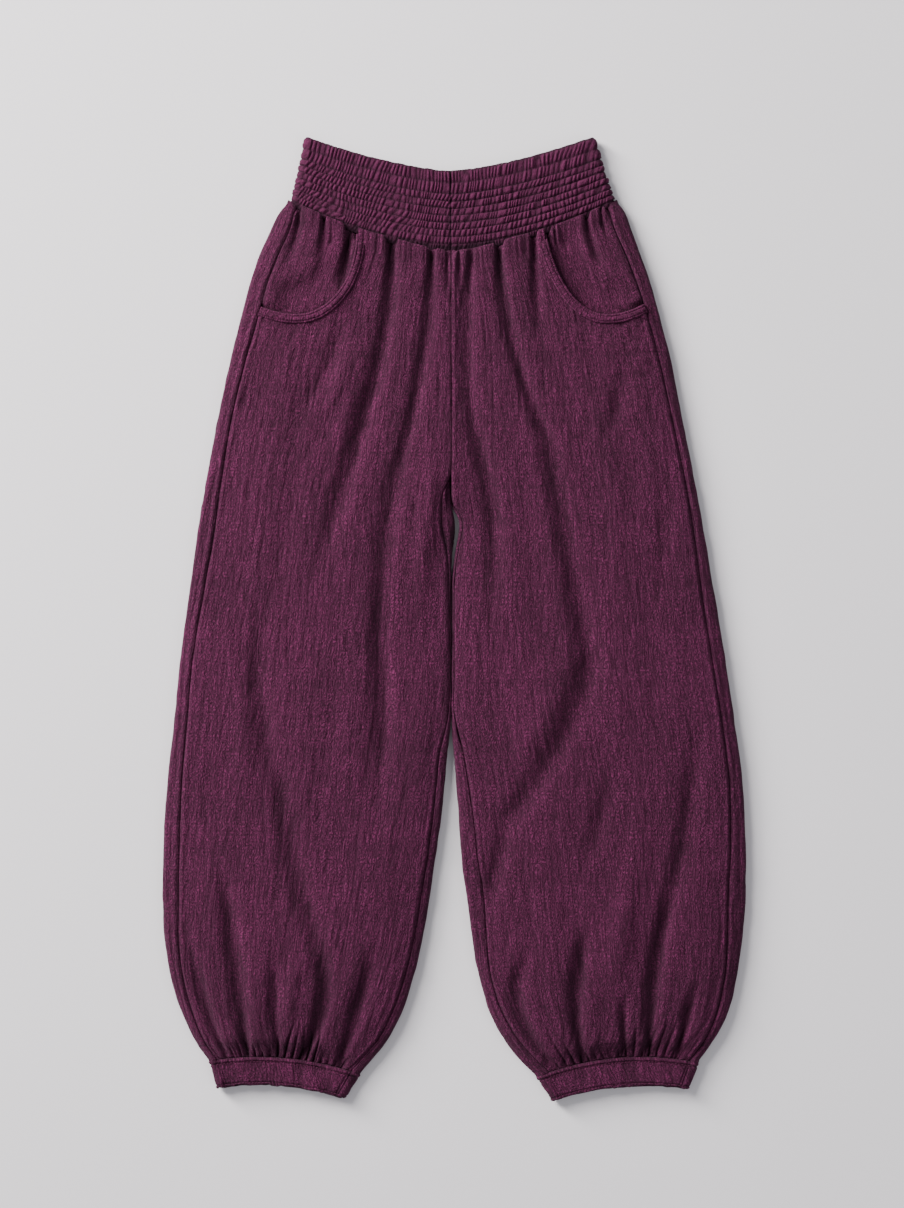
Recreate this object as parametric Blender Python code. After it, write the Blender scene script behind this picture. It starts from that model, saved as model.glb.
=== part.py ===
# Harem trousers laid flat on a surface, front upwards: a smocked waistband, two fronts
# with scooped pockets, two backs that wrap round the sides, and two gathered cuffs.
# Lengths are in millimetres and become metres where a mesh is made. +Y runs to the
# waist, +X to the right as seen from above, +Z up. Left and right are as seen.

import math

import bmesh
import bpy
import numpy as np
from mathutils import Matrix, Vector
from mathutils.bvhtree import BVHTree

MM = 0.001
SEAM_GAP = 0.3          # between pieces across a seam
SEAM_EASE = 0.45        # along Y between leg and band or cuff, whose edges are curved
PANEL_WALL = 2.0
BAND_WALL = 2.5
CUFF_WALL = 3.0
ROLL = 6.0              # radius of the rolled side edges, so a seam lies 12 mm up
LOWEST_TOP = 10.0       # no fold goes deeper than this above the surface
FOLD_FREE_EDGE = 5.0    # folds fade out this far inside an edge
FOLD_EDGE_FADE = 14.0
LEAST_LEAN = 0.72       # an edge is never treated as steeper than this cosine
WAIST_DIP_POWER = 1.75  # how sharply the waist seam drops towards the centre
WAIST_DIP_END = 0.3     # share of the leg where the rows have become straight
CUFF_BOW_START = 0.8
SEAM_FOLD_SHARE = 0.2   # of a fold's depth that is left at a seam
WAIST_FOLD_RUN = 11.0
CUFF_FOLD_RUN = 14.0
CURL_RUN = 12.0         # flat stretch of a back that becomes its curl at the crotch
CURL_TAIL = 4.0
STRIP_CLEARANCE = 2.4   # reach over which a mouth strip looks for the highest point

FRONT_COLUMNS = 34      # two for each gather at the cuff
FLOOR_COLUMNS = 6
ARC_COLUMNS = 5
TOP_COLUMNS = 2
WAIST_SHARES = (0.0, 0.008, 0.024, 0.05, 0.085, 0.125, 0.17, 0.215)
LEG_SHARES = (0.42, 0.50, 0.58, 0.66, 0.74, 0.81, 0.87, 0.92, 0.96, 0.985, 1.0)

# Outer edge of each leg and how far inside it the side seam lies
# columns: y, outer edge left, seam inset left, outer edge right, seam inset right
SIDES = [
    (422.5, -171.3, 13.0, 167.6, 13.0),
    (413.7, -178.6, 16.0, 173.9, 16.0),
    (400.0, -185.0, 19.0, 179.5, 17.5),
    (370.0, -198.3, 19.5, 190.5, 15.6),
    (340.0, -208.3, 18.0, 200.5, 14.0),
    (300.0, -219.0, 17.5, 211.3, 12.4),
    (260.0, -229.0, 16.0, 221.3, 12.0),
    (200.0, -242.0, 15.0, 233.2, 10.5),
    (140.0, -253.0, 16.0, 245.2, 10.0),
    (80.0, -263.0, 17.5, 256.0, 11.0),
    (20.0, -271.0, 15.0, 266.0, 13.0),
    (-40.0, -279.0, 13.0, 276.0, 14.0),
    (-100.0, -285.2, 14.0, 285.2, 13.5),
    (-165.0, -292.4, 15.5, 293.8, 14.0),
    (-225.0, -296.4, 17.0, 296.9, 15.5),
    (-285.0, -297.5, 17.0, 296.9, 18.0),
    (-327.0, -295.4, 15.0, 293.8, 16.0),
    (-368.0, -288.3, 13.0, 287.7, 13.0),
    (-408.0, -275.1, 11.0, 276.5, 11.5),
    (-430.0, -264.3, 9.5, 264.8, 10.5),
    (-450.0, -250.5, 9.5, 249.6, 10.0),
]

# Inner edge of each leg: the centre seam above the crotch, then the leg's own edge
# columns: y, inner edge, inseam inset, curl (0 flat on the surface, 1 rolled over)
INNER_LEFT = [
    (373.5, -3.0, 0.0, 0.0),
    (160.0, -3.0, 0.0, 0.0),
    (148.0, -3.0, 0.0, 0.15),
    (137.0, -3.4, 4.2, 0.6),
    (128.0, -3.8, 9.5, 1.0),
    (112.0, -4.2, 9.5, 1.0),
    (92.0, -4.8, 8.5, 1.0),
    (70.0, -4.0, 8.0, 1.0),
    (20.0, -3.5, 8.0, 1.0),
    (-60.0, -3.6, 8.0, 1.0),
    (-100.0, -4.2, 8.0, 1.0),
    (-124.0, -5.6, 8.0, 1.0),
    (-165.0, -9.4, 8.2, 1.0),
    (-205.0, -13.6, 8.4, 1.0),
    (-246.0, -19.4, 8.2, 1.0),
    (-286.0, -25.8, 8.2, 1.0),
    (-327.0, -32.9, 8.4, 1.0),
    (-368.0, -42.2, 9.0, 1.0),
    (-408.0, -56.3, 10.0, 1.0),
    (-429.0, -67.5, 10.5, 1.0),
    (-449.0, -83.4, 11.0, 1.0),
    (-463.5, -95.8, 11.0, 1.0),
]
INNER_RIGHT = [
    (373.5, -3.0, 0.0, 0.0),
    (130.0, -3.0, 0.0, 0.0),
    (120.0, -3.0, 0.0, 0.15),
    (112.0, -2.2, 1.0, 0.45),
    (104.0, 0.4, 5.8, 0.7),
    (97.0, 4.8, 8.5, 1.0),
    (88.0, 9.2, 8.0, 1.0),
    (74.0, 8.0, 8.0, 1.0),
    (58.0, 4.6, 8.0, 1.0),
    (39.0, 1.4, 8.0, 1.0),
    (22.0, -1.4, 8.0, 1.0),
    (5.0, -2.5, 8.0, 1.0),
    (-60.0, -2.7, 8.0, 1.0),
    (-100.0, -2.4, 8.5, 1.0),
    (-124.0, -1.2, 10.5, 1.0),
    (-165.0, 1.6, 12.5, 1.0),
    (-205.0, 4.8, 15.0, 1.0),
    (-246.0, 7.8, 16.5, 1.0),
    (-286.0, 12.8, 17.5, 1.0),
    (-327.0, 18.2, 15.0, 1.0),
    (-368.0, 26.2, 12.0, 1.0),
    (-408.0, 39.3, 13.0, 1.0),
    (-429.0, 50.6, 15.0, 1.0),
    (-449.0, 66.0, 17.0, 1.0),
    (-466.3, 83.5, 18.0, 1.0),
]

# What differs between the two legs, out being the direction away from the other leg
LEGS = {
    "left": {"out": -1, "side": 1, "inner": INNER_LEFT, "waist": (422.5, 373.5),
             "cuff": (-450.0, -463.5), "cuff_bow": 9.8, "phase": 0.0,
             "fork": (0.255, 0.269, 0.2826, 0.2933, 0.3124, 0.345),
             "hem": ((-242.5, -478.4), (-110.4, -489.5)), "hem_bow": 8.3},
    "right": {"out": 1, "side": 3, "inner": INNER_RIGHT, "waist": (422.5, 373.5),
              "cuff": (-452.0, -466.3), "cuff_bow": 12.5, "phase": 1.9,
              "fork": (0.29, 0.3018, 0.3111, 0.3206, 0.329, 0.345),
              "hem": ((239.6, -479.2), (98.9, -491.5)), "hem_bow": 8.5},
}

# How far the cloth stands above its rolled edges; columns: y, swell
SWELL = [(420.0, 4.5), (330.0, 4.0), (150.0, 3.6), (0.0, 4.2), (-200.0, 5.6),
         (-320.0, 7.6), (-400.0, 8.4), (-445.0, 6.5)]
SWELL_REACH = 26.0
WAIST_PUFF = 13.0       # the cloth swells over this length below the waistband
CUFF_PUFF = 20.0
CROTCH_Y = 150.0
CROTCH_FADE = 60.0

# Folds of the fronts: a trough where depth is above 0, a ridge where it is below
# columns: leg, y and x at top, middle and end, depth, half width, fade in, fade out
FOLDS = [
    ("left", 416, -157, 380, -164, 350, -173, 2.5, 6, 0.0, 0.5),
    ("left", 408, -131, 380, -135, 357, -139, 2.2, 5, 0.0, 0.5),
    ("left", 400, -105, 363, -111, 325, -119, 4.5, 7, 0.0, 0.4),
    ("left", 325, -114, 263, -126, 197, -167, 2.4, 9, 0.4, 0.5),
    ("left", 388, -64, 324, -66, 212, -91, 4.8, 8, 0.0, 0.0),
    ("left", 212, -91, 121, -116, 21, -150, 4.6, 10, 0.0, 0.8),
    ("left", 378, -23, 278, -30, 161, -55, 3.6, 7, 0.0, 0.0),
    ("left", 161, -55, 60, -71, -22, -77, 4.0, 10, 0.0, 0.0),
    ("left", -22, -77, -134, -72, -261, -88, 3.8, 10, 0.0, 0.7),
    ("left", 376, -8, 355, -7, 324, -6, 1.6, 4, 0.0, 0.6),
    ("left", 39, -186, -37, -200, -159, -179, 3.0, 11, 0.5, 0.0),
    ("left", -159, -179, -276, -155, -342, -135, 3.2, 11, 0.0, 0.0),
    ("left", -342, -135, -388, -133, -445, -155, 5.0, 9, 0.0, 0.0),
    ("left", -205, -245, -317, -227, -445, -211, 4.6, 9, 0.5, 0.0),
    ("left", -312, -269, -383, -256, -445, -232, 3.0, 6, 0.5, 0.0),
    ("left", -332, -180, -388, -183, -445, -178, 3.0, 6, 0.5, 0.0),
    ("left", -322, -80, -378, -94, -455, -118, 4.2, 8, 0.5, 0.0),
    ("left", 192, -11, 100, -27, -12, -37, -2.4, 9, 0.4, 0.5),
    ("left", 283, -111, 227, -123, 192, -143, -2.0, 9, 0.5, 0.5),
    ("left", -32, -214, -124, -216, -236, -207, -2.0, 12, 0.4, 0.5),
    ("left", -337, -158, -378, -166, -419, -168, -1.8, 7, 0.4, 0.4),
    ("right", 376, 5, 355, 5, 324, 6, 1.6, 4, 0.0, 0.6),
    ("right", 378, 19, 294, 13, 192, 20, 3.0, 7, 0.0, 0.0),
    ("right", 192, 20, 80, 41, -42, 31, 4.6, 9, 0.0, 0.6),
    ("right", 382, 45, 299, 55, 182, 95, 4.2, 7, 0.0, 0.0),
    ("right", 182, 95, 39, 120, -42, 138, 3.6, 10, 0.0, 0.0),
    ("right", -42, 138, -126, 108, -205, 55, 4.6, 11, 0.0, 0.0),
    ("right", -205, 55, -251, 44, -312, 33, 3.6, 8, 0.0, 0.5),
    ("right", 392, 80, 334, 83, 263, 89, 3.4, 6, 0.0, 0.6),
    ("right", 412, 131, 375, 142, 334, 155, 2.8, 6, 0.0, 0.5),
    ("right", 416, 145, 400, 151, 385, 158, 2.0, 4, 0.0, 0.5),
    ("right", 283, 174, 222, 167, 159, 148, 2.2, 9, 0.5, 0.5),
    ("right", 182, 209, 100, 214, -12, 207, 1.8, 10, 0.5, 0.5),
    ("right", -73, 244, -175, 241, -292, 217, 3.2, 10, 0.5, 0.0),
    ("right", -292, 217, -373, 202, -446, 197, 5.0, 8, 0.0, 0.0),
    ("right", -134, 165, -200, 150, -271, 128, 2.6, 10, 0.5, 0.5),
    ("right", -327, 82, -368, 65, -445, 92, 3.4, 8, 0.4, 0.0),
    ("right", -302, 140, -368, 125, -445, 130, 4.6, 8, 0.4, 0.0),
    ("right", -373, 174, -403, 172, -446, 171, 3.2, 5, 0.5, 0.0),
    ("right", -363, 246, -398, 238, -446, 226, 4.2, 6, 0.5, 0.0),
    ("right", -393, 278, -419, 266, -446, 250, 2.4, 5, 0.4, 0.0),
    ("right", 243, 62, 121, 92, -22, 114, -1.8, 12, 0.4, 0.0),
    ("right", -22, 114, -119, 82, -177, 34, -2.8, 13, 0.0, 0.5),
    ("right", -164, 189, -286, 177, -409, 148, -2.2, 12, 0.4, 0.4),
]

# Small gathers along the cuff seams, one for each pair of columns
GATHER_DEPTH = 1.7
GATHER_LENGTH = 30.0

# Pocket mouths: part of an ellipse from the waist to its lowest point, then a slow rise
POCKETS = {
    "left": {"centre": (-160.0, 390.7), "half_width": 61.0, "depth": 82.0,
             "rise": 7.6, "rise_over": 36.7},
    "right": {"centre": (155.0, 440.5), "half_width": 67.0, "depth": 132.0,
              "rise": 10.7, "rise_over": 38.0},
}
MOUTH_STEPS = 20
MOUTH_ABOVE_WAIST = 460.0
CUTTER_HEIGHT = 40.0
CUTTER_OVERHANG = 60.0
BACKING_LAP = 8.0       # the pocket backing goes on under the front this far
BACKING_DROP = 2.5
BACKING_WALL = 1.5
BACKING_COLUMNS = 21
BACKING_ROWS = 7
DROP_FULL = 24.0        # the backing lies low this far inside the mouth
DROP_FADE = 18.0
MOUTH_BAND_WIDTH = 8.0
MOUTH_BAND_WALL = 1.0
MOUTH_BAND_STEPS = 26

# Waistband: its lower edge follows the waist seam
BAND_LEFT = (-167.2, -151.4)
BAND_RIGHT = (164.4, 142.6)
BAND_TOP_CENTRE = 455.4
BAND_TOP_RISE = 34.6
BAND_TOP_POWER = 1.5
BAND_ROLL = 5.5
BAND_FRONT_COLUMNS = 60
BAND_BACK_COLUMNS = 12
WIDE_ROWS = 2           # the two rows of smocking at the top are wider
WIDE_ROW = 11.7
NARROW_ROWS = 8
NARROW_ROW = 7.4
RIDGE = 1.0
PUFF_DIP = 0.55
CENTRE_SEAM_DIP = 0.8

CUFF_FRONT_COLUMNS = 12
CUFF_BACK_COLUMNS = 8
CUFF_RINGS = (0.0, 0.5, 1.0)

CLOTH = (0.083, 0.020, 0.048, 1.0)
CLOTH_ROUGHNESS = 0.9


def ease(t):
    t = np.clip(t, 0.0, 1.0)
    return t * t * (3.0 - 2.0 * t)


def smooth_curve(rows, column, y):
    """Value of a table's column at y, on a curve through its rows."""
    data = np.array(sorted(rows), dtype=float)
    ys = data[:, 0]
    values = data[:, column]
    y = np.clip(y, ys[0], ys[-1])
    slopes = np.gradient(values, ys)
    i = np.clip(np.searchsorted(ys, y) - 1, 0, len(ys) - 2)
    step = ys[i + 1] - ys[i]
    t = (y - ys[i]) / step
    rise = values[i + 1] - values[i]
    first = slopes[i] * step - rise
    last = rise - slopes[i + 1] * step
    return values[i] + rise * t + t * (1.0 - t) * ((1.0 - t) * first + t * last)


def outer_edge(leg, y):
    return smooth_curve(SIDES, leg["side"], y)


def inner_edge(leg, y):
    return smooth_curve(leg["inner"], 1, y)


def lean(edge, leg, y):
    """Cosine of an edge's slope, which turns a distance along X into one across it."""
    slope = (edge(leg, y + 1.0) - edge(leg, y - 1.0)) / 2.0
    return np.clip(1.0 / np.hypot(1.0, slope), LEAST_LEAN, 1.0)


def row_ends(leg, share):
    """Outer and inner end of a row across the leg, share 0 at the waist, 1 at the cuff."""
    y_out = leg["waist"][0] + (leg["cuff"][0] - leg["waist"][0]) * share
    y_in = leg["waist"][1] + (leg["cuff"][1] - leg["waist"][1]) * share
    return float(outer_edge(leg, y_out)), y_out, float(inner_edge(leg, y_in)), y_in


def row_y(leg, share, x):
    """Height on the page of a row at x: it dips to the centre, and bows at the cuff."""
    x_out, y_out, x_in, y_in = row_ends(leg, share)
    u = np.clip((x - x_out) / (x_in - x_out), 0.0, 1.0)
    power = WAIST_DIP_POWER - (WAIST_DIP_POWER - 1.0) * ease(share / WAIST_DIP_END)
    bow = leg["cuff_bow"] * ease((share - CUFF_BOW_START) / (1.0 - CUFF_BOW_START))
    return y_in + (y_out - y_in) * (1.0 - u) ** power + bow * 4.0 * u * (1.0 - u)


def crossing(leg, share, edge, inset_rows, inset_column, inwards):
    """X where a row meets a seam that runs at its inset inside an edge."""
    y = row_ends(leg, share)[1] if inwards < 0 else row_ends(leg, share)[3]
    for _ in range(6):
        x = edge(leg, y) + inwards * leg["out"] * smooth_curve(inset_rows, inset_column, y)
        y = row_y(leg, share, x)
    return float(x)


def side_seam_x(leg, share):
    return crossing(leg, share, outer_edge, SIDES, leg["side"] + 1, -1)


def inseam_x(leg, share):
    return crossing(leg, share, inner_edge, leg["inner"], 2, 1)


def fold_depth(side, x, y):
    """Sum of the troughs and ridges at a point."""
    total = np.zeros_like(x)
    for name, y0, x0, y1, x1, y2, x2, depth, width, fade_in, fade_out in FOLDS:
        if name != side:
            continue
        a = (y - y1) * (y - y2) / ((y0 - y1) * (y0 - y2))
        b = (y - y0) * (y - y2) / ((y1 - y0) * (y1 - y2))
        c = (y - y0) * (y - y1) / ((y2 - y0) * (y2 - y1))
        middle = a * x0 + b * x1 + c * x2
        along = (y0 - y) / (y0 - y2)
        strength = np.where((along >= 0.0) & (along <= 1.0), depth, 0.0)
        if fade_in:
            strength = strength * ease(along / fade_in)
        if fade_out:
            strength = strength * ease((1.0 - along) / fade_out)
        total = total + strength * np.exp(-((x - middle) / width) ** 2)
    return total


def top_height(side, x, y):
    """Height of the cloth's upper face above the surface."""
    leg = LEGS[side]
    x = np.asarray(x, dtype=float)
    y = np.asarray(y, dtype=float)
    from_side = (outer_edge(leg, y) - x) * leg["out"] * lean(outer_edge, leg, y)
    from_inner = (x - inner_edge(leg, y)) * leg["out"] * lean(inner_edge, leg, y)
    below_crotch = ease((CROTCH_Y - y) / CROTCH_FADE)
    side_rise = 1.0 - np.exp(-np.maximum(from_side - ROLL, 0.0) / SWELL_REACH)
    inner_rise = 1.0 - below_crotch * np.exp(-np.maximum(from_inner - ROLL, 0.0) / SWELL_REACH)
    swell = smooth_curve(SWELL, 1, y) * side_rise * inner_rise
    from_waist = row_y(leg, 0.0, x) - y
    from_cuff = y - row_y(leg, 1.0, x)
    swell = swell * ease(from_waist / WAIST_PUFF) * ease(from_cuff / CUFF_PUFF)
    edge_fade = ease((from_side - FOLD_FREE_EDGE) / FOLD_EDGE_FADE)
    inner_fade = ease((from_inner - FOLD_FREE_EDGE) / FOLD_EDGE_FADE)
    edge_fade = edge_fade * (1.0 - below_crotch * (1.0 - inner_fade))
    waist_fade = np.clip(SEAM_FOLD_SHARE + from_waist / WAIST_FOLD_RUN, 0.0, 1.0)
    cuff_fade = np.clip(SEAM_FOLD_SHARE + from_cuff / CUFF_FOLD_RUN, 0.0, 1.0)
    folds = fold_depth(side, x, y) * edge_fade * waist_fade * cuff_fade
    return np.maximum(2.0 * ROLL + swell - folds, LOWEST_TOP)


def leg_shares(leg):
    return WAIST_SHARES + leg["fork"] + LEG_SHARES


def gather_place(leg, k):
    """Uneven place across the front of gather line k, 0 at the side seam, 1 at the other."""
    bend = 0.007 * np.sin(2.0 * math.pi * 3.0 * k + leg["phase"])
    bend = bend + 0.004 * np.sin(2.0 * math.pi * 7.0 * k)
    return k + bend * np.sin(math.pi * k)


def gather_dip(leg, k, from_cuff):
    """Depth of the small gathers at the cuff, each of its own depth and length."""
    depth = GATHER_DEPTH * (1.0 + 0.45 * np.sin(19.0 * k + leg["phase"]))
    length = GATHER_LENGTH * (1.0 + 0.35 * np.sin(31.0 * k + 2.0 * leg["phase"]))
    wave = 0.5 - 0.5 * np.cos(math.pi * FRONT_COLUMNS * k)
    return depth * wave * ease(1.0 - from_cuff / length) * ease(0.3 + from_cuff / 12.0)


def front_lattice(side):
    """Points of a front's upper face, a row across the leg for each share."""
    leg = LEGS[side]
    k = np.arange(FRONT_COLUMNS + 1) / FRONT_COLUMNS
    place = gather_place(leg, k)
    rows = []
    for share in leg_shares(leg):
        start = side_seam_x(leg, share) - leg["out"] * SEAM_GAP / 2.0
        end = inseam_x(leg, share) + leg["out"] * SEAM_GAP / 2.0
        x = start + (end - start) * place
        y = row_y(leg, share, x)
        z = top_height(side, x, y)
        z = z - gather_dip(leg, k, y - row_y(leg, 1.0, x)) * np.sin(math.pi * k) ** 0.3
        rows.append(np.stack([x, y, np.maximum(z, LOWEST_TOP)], axis=1))
    return np.array(rows)


def rolled_side(side, share):
    """Section of a back from the side seam round the outer edge to the surface."""
    leg = LEGS[side]
    x_out, y_out, _, _ = row_ends(leg, share)
    across = lean(outer_edge, leg, y_out)
    inwards = -leg["out"]
    seam = side_seam_x(leg, share) + leg["out"] * SEAM_GAP / 2.0
    arc_start = x_out + inwards * ROLL / across
    outer, inner = [], []
    for i in range(TOP_COLUMNS):
        x = seam + (arc_start - seam) * i / TOP_COLUMNS
        z = float(top_height(side, x, row_y(leg, share, x)))
        outer.append((x, z))
        inner.append((x, z - PANEL_WALL))
    for i in range(ARC_COLUMNS + 1):
        angle = math.pi * (0.5 - i / ARC_COLUMNS)
        x = x_out + inwards * ROLL * (1.0 - math.cos(angle)) / across
        outer.append((x, ROLL + ROLL * math.sin(angle)))
        x = x_out + inwards * (ROLL - (ROLL - PANEL_WALL) * math.cos(angle)) / across
        inner.append((x, ROLL + (ROLL - PANEL_WALL) * math.sin(angle)))
    return outer, inner


def rolled_inside(side, share):
    """Section of a back at its inner end: flat on the surface at the centre seam, or
    curled up and over to the inseam on a leg."""
    leg = LEGS[side]
    _, _, x_in, y_in = row_ends(leg, share)
    curl = float(np.clip(smooth_curve(leg["inner"], 3, y_in), 0.0, 1.0))
    across = float(lean(inner_edge, leg, y_in)) if curl >= 1.0 else 1.0
    inset = abs(inseam_x(leg, share) - x_in) * across
    flat_run = CURL_RUN * (1.0 - curl)
    turn = math.pi * curl
    tail = curl * max(inset - ROLL, 1.0) + (1.0 - curl) * CURL_TAIL - SEAM_GAP / 2.0
    reach = ROLL if turn > math.pi / 2.0 else ROLL * math.sin(turn) + tail * math.cos(turn)
    reach = max(reach, 0.0) + SEAM_GAP / 2.0 * (curl < 0.5)
    length = flat_run + ROLL * turn
    outer, inner = [], []
    for i in range(ARC_COLUMNS + TOP_COLUMNS + 1):
        run = min(i / ARC_COLUMNS, 1.0) * length
        angle = max(run - flat_run, 0.0) / ROLL
        distance = reach + max(flat_run - run, 0.0) - ROLL * math.sin(angle)
        z = ROLL - ROLL * math.cos(angle)
        extra = tail * max(i - ARC_COLUMNS, 0) / TOP_COLUMNS
        distance -= extra * math.cos(angle)
        z += extra * math.sin(angle)
        x = x_in + leg["out"] * distance / across
        x_wall = x_in + leg["out"] * (distance + PANEL_WALL * math.sin(angle)) / across
        z_wall = z + PANEL_WALL * math.cos(angle)
        if extra and curl > 0.99:
            z = float(top_height(side, x, row_y(leg, share, x)))
            z_wall = z - PANEL_WALL
        outer.append((x, z))
        inner.append((x_wall, z_wall))
    return outer, inner


def back_lattice(side):
    """Outer and inner faces of a back, a section for each share."""
    leg = LEGS[side]
    faces = ([], [])
    for share in leg_shares(leg):
        start = rolled_side(side, share)
        end = rolled_inside(side, share)
        for face, first, last in zip(faces, start, end):
            floor = []
            for i in range(1, FLOOR_COLUMNS):
                t = i / FLOOR_COLUMNS
                floor.append((first[-1][0] + (last[0][0] - first[-1][0]) * t, first[-1][1]))
            section = np.array(first + floor + last)
            y = row_y(leg, share, section[:, 0])
            face.append(np.stack([section[:, 0], y, section[:, 1]], axis=1))
    return np.array(faces[0]), np.array(faces[1])


def add_object(name, vertices, faces):
    """A named object with its own cloth material, its faces turned outwards."""
    mesh = bpy.data.meshes.new(name)
    mesh.from_pydata([tuple(float(c) * MM for c in v) for v in vertices], [], faces)
    work = bmesh.new()
    work.from_mesh(mesh)
    bmesh.ops.recalc_face_normals(work, faces=work.faces)
    work.to_mesh(mesh)
    work.free()
    mesh.shade_smooth()
    mesh.set_sharp_from_angle(angle=math.radians(50.0))
    mesh.materials.append(cloth_material(name + "_cloth"))
    piece = bpy.data.objects.new(name, mesh)
    PARTS.objects.link(piece)
    return piece


def cloth_material(name):
    material = bpy.data.materials.new(name)
    material.use_nodes = True
    shader = material.node_tree.nodes["Principled BSDF"]
    shader.inputs["Base Color"].default_value = CLOTH
    shader.inputs["Roughness"].default_value = CLOTH_ROUGHNESS
    shader.inputs["Metallic"].default_value = 0.0
    material.diffuse_color = CLOTH
    return material


def grid_faces(rows, columns, start, closed=False):
    """Two triangles for each cell of a lattice whose first point has index start."""
    faces = []
    for r in range(rows - 1):
        for c in range(columns if closed else columns - 1):
            a = start + r * columns + c
            b = start + r * columns + (c + 1) % columns
            faces.append((a, b, b + columns))
            faces.append((a, b + columns, a + columns))
    return faces


def wall_object(name, outer, inner):
    """An open sheet with thickness: two lattices joined round their border."""
    rows, columns = outer.shape[:2]
    count = rows * columns
    faces = grid_faces(rows, columns, 0) + grid_faces(rows, columns, count)
    border = [c for c in range(columns)]
    border += [r * columns + columns - 1 for r in range(1, rows)]
    border += [(rows - 1) * columns + c for c in range(columns - 2, -1, -1)]
    border += [r * columns for r in range(rows - 2, 0, -1)]
    for a, b in zip(border, border[1:] + border[:1]):
        faces.append((a, b, b + count))
        faces.append((a, b + count, a + count))
    vertices = np.concatenate([outer.reshape(-1, 3), inner.reshape(-1, 3)])
    return add_object(name, vertices, faces)


def tube_object(name, outer, inner):
    """A tube open at both ends: closed rings outside and inside, joined at the ends."""
    columns = outer.shape[1]
    count = outer.shape[0] * columns
    faces = grid_faces(outer.shape[0], columns, 0, closed=True)
    faces += grid_faces(inner.shape[0], columns, count, closed=True)
    ends = ((0, count), (count - columns, count + (inner.shape[0] - 1) * columns))
    for outside, inside in ends:
        for c in range(columns):
            after = (c + 1) % columns
            faces.append((outside + c, outside + after, inside + after))
            faces.append((outside + c, inside + after, inside + c))
    vertices = np.concatenate([outer.reshape(-1, 3), inner.reshape(-1, 3)])
    return add_object(name, vertices, faces)


def flat_tube_section(x_left, x_right, roll, wall, front_columns, back_columns, arc=4):
    """Ring round a flattened tube from its left roll over the front: x, z outside and
    inside, and how far each point faces up."""
    radius = roll - wall
    points = []
    for i in range(front_columns + 1):
        x = x_left + roll + (x_right - x_left - 2.0 * roll) * i / front_columns
        points.append((x, 2.0 * roll, x, 2.0 * roll - wall, 1.0))
    for i in range(1, arc):
        angle = math.pi * (0.5 - i / arc)
        c, s = math.cos(angle), math.sin(angle)
        x = x_right - roll
        points.append((x + roll * c, roll + roll * s, x + radius * c, roll + radius * s, 0.5 + 0.5 * s))
    for i in range(back_columns + 1):
        x = x_right - roll - (x_right - x_left - 2.0 * roll) * i / back_columns
        points.append((x, 0.0, x, wall, 0.0))
    for i in range(1, arc):
        angle = math.pi * (0.5 - i / arc)
        c, s = math.cos(angle), math.sin(angle)
        x = x_left + roll
        points.append((x - roll * c, roll - roll * s, x - radius * c, roll - radius * s, 0.5 - 0.5 * s))
    return np.array(points)


def smocking_lines():
    """Shares up the band of the stitch lines between rows, the waist seam first."""
    heights = [NARROW_ROW] * NARROW_ROWS + [WIDE_ROW] * WIDE_ROWS
    return np.concatenate([[0.0], np.cumsum(heights)]) / sum(heights)


def band_ring(share, ridge, wobble):
    """One ring of the waistband, its outer points raised by the smocked rows."""
    x_left = BAND_LEFT[0] + (BAND_LEFT[1] - BAND_LEFT[0]) * share
    x_right = BAND_RIGHT[0] + (BAND_RIGHT[1] - BAND_RIGHT[0]) * share
    section = flat_tube_section(x_left, x_right, BAND_ROLL, BAND_WALL,
                                BAND_FRONT_COLUMNS, BAND_BACK_COLUMNS)
    faces = []
    middle, half = (x_left + x_right) / 2.0, (x_right - x_left) / 2.0
    facing = section[:, 4]
    column = np.arange(len(section))
    lift = RIDGE * ridge * facing
    puffs = (column + wobble) % 2 * (column < BAND_FRONT_COLUMNS) * (column > 0)
    lift = lift - PUFF_DIP * puffs * ridge
    lift = lift - CENTRE_SEAM_DIP * (column == BAND_FRONT_COLUMNS // 2)
    for x_column, z_column, rise in ((0, 1, lift), (2, 3, 0.0 * lift)):
        x, z = section[:, x_column], section[:, z_column]
        angle_out = np.clip((x - middle) / half, -1.0, 1.0)
        sideways = np.where(facing < 1.0, np.sign(angle_out), 0.0) * (facing > 0.0)
        x = x + rise * sideways
        z = z + rise * np.where(sideways == 0.0, 1.0, 0.0)
        seam = np.where(x < INNER_LEFT[0][1], waist_y("left", x), waist_y("right", x))
        top = BAND_TOP_CENTRE + BAND_TOP_RISE * np.abs(angle_out) ** BAND_TOP_POWER
        y = (seam + SEAM_EASE) * (1.0 - share) + top * share
        faces.append(np.stack([x, y, z], axis=1))
    return faces


def waist_y(side, x):
    return row_y(LEGS[side], 0.0, x)


def make_waistband():
    lines = smocking_lines()
    outer = []
    for i, (low, high) in enumerate(zip(lines[:-1], lines[1:])):
        outer.append(band_ring(low, 0.0, 0)[0])
        outer.append(band_ring((low + high) / 2.0, 1.0, i % 2)[0])
    outer.append(band_ring(1.0, 0.0, 0)[0])
    inner = [band_ring(share, 0.0, 0)[1] for share in (0.0, 1.0)]
    return tube_object("waistband", np.array(outer), np.array(inner))


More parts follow.
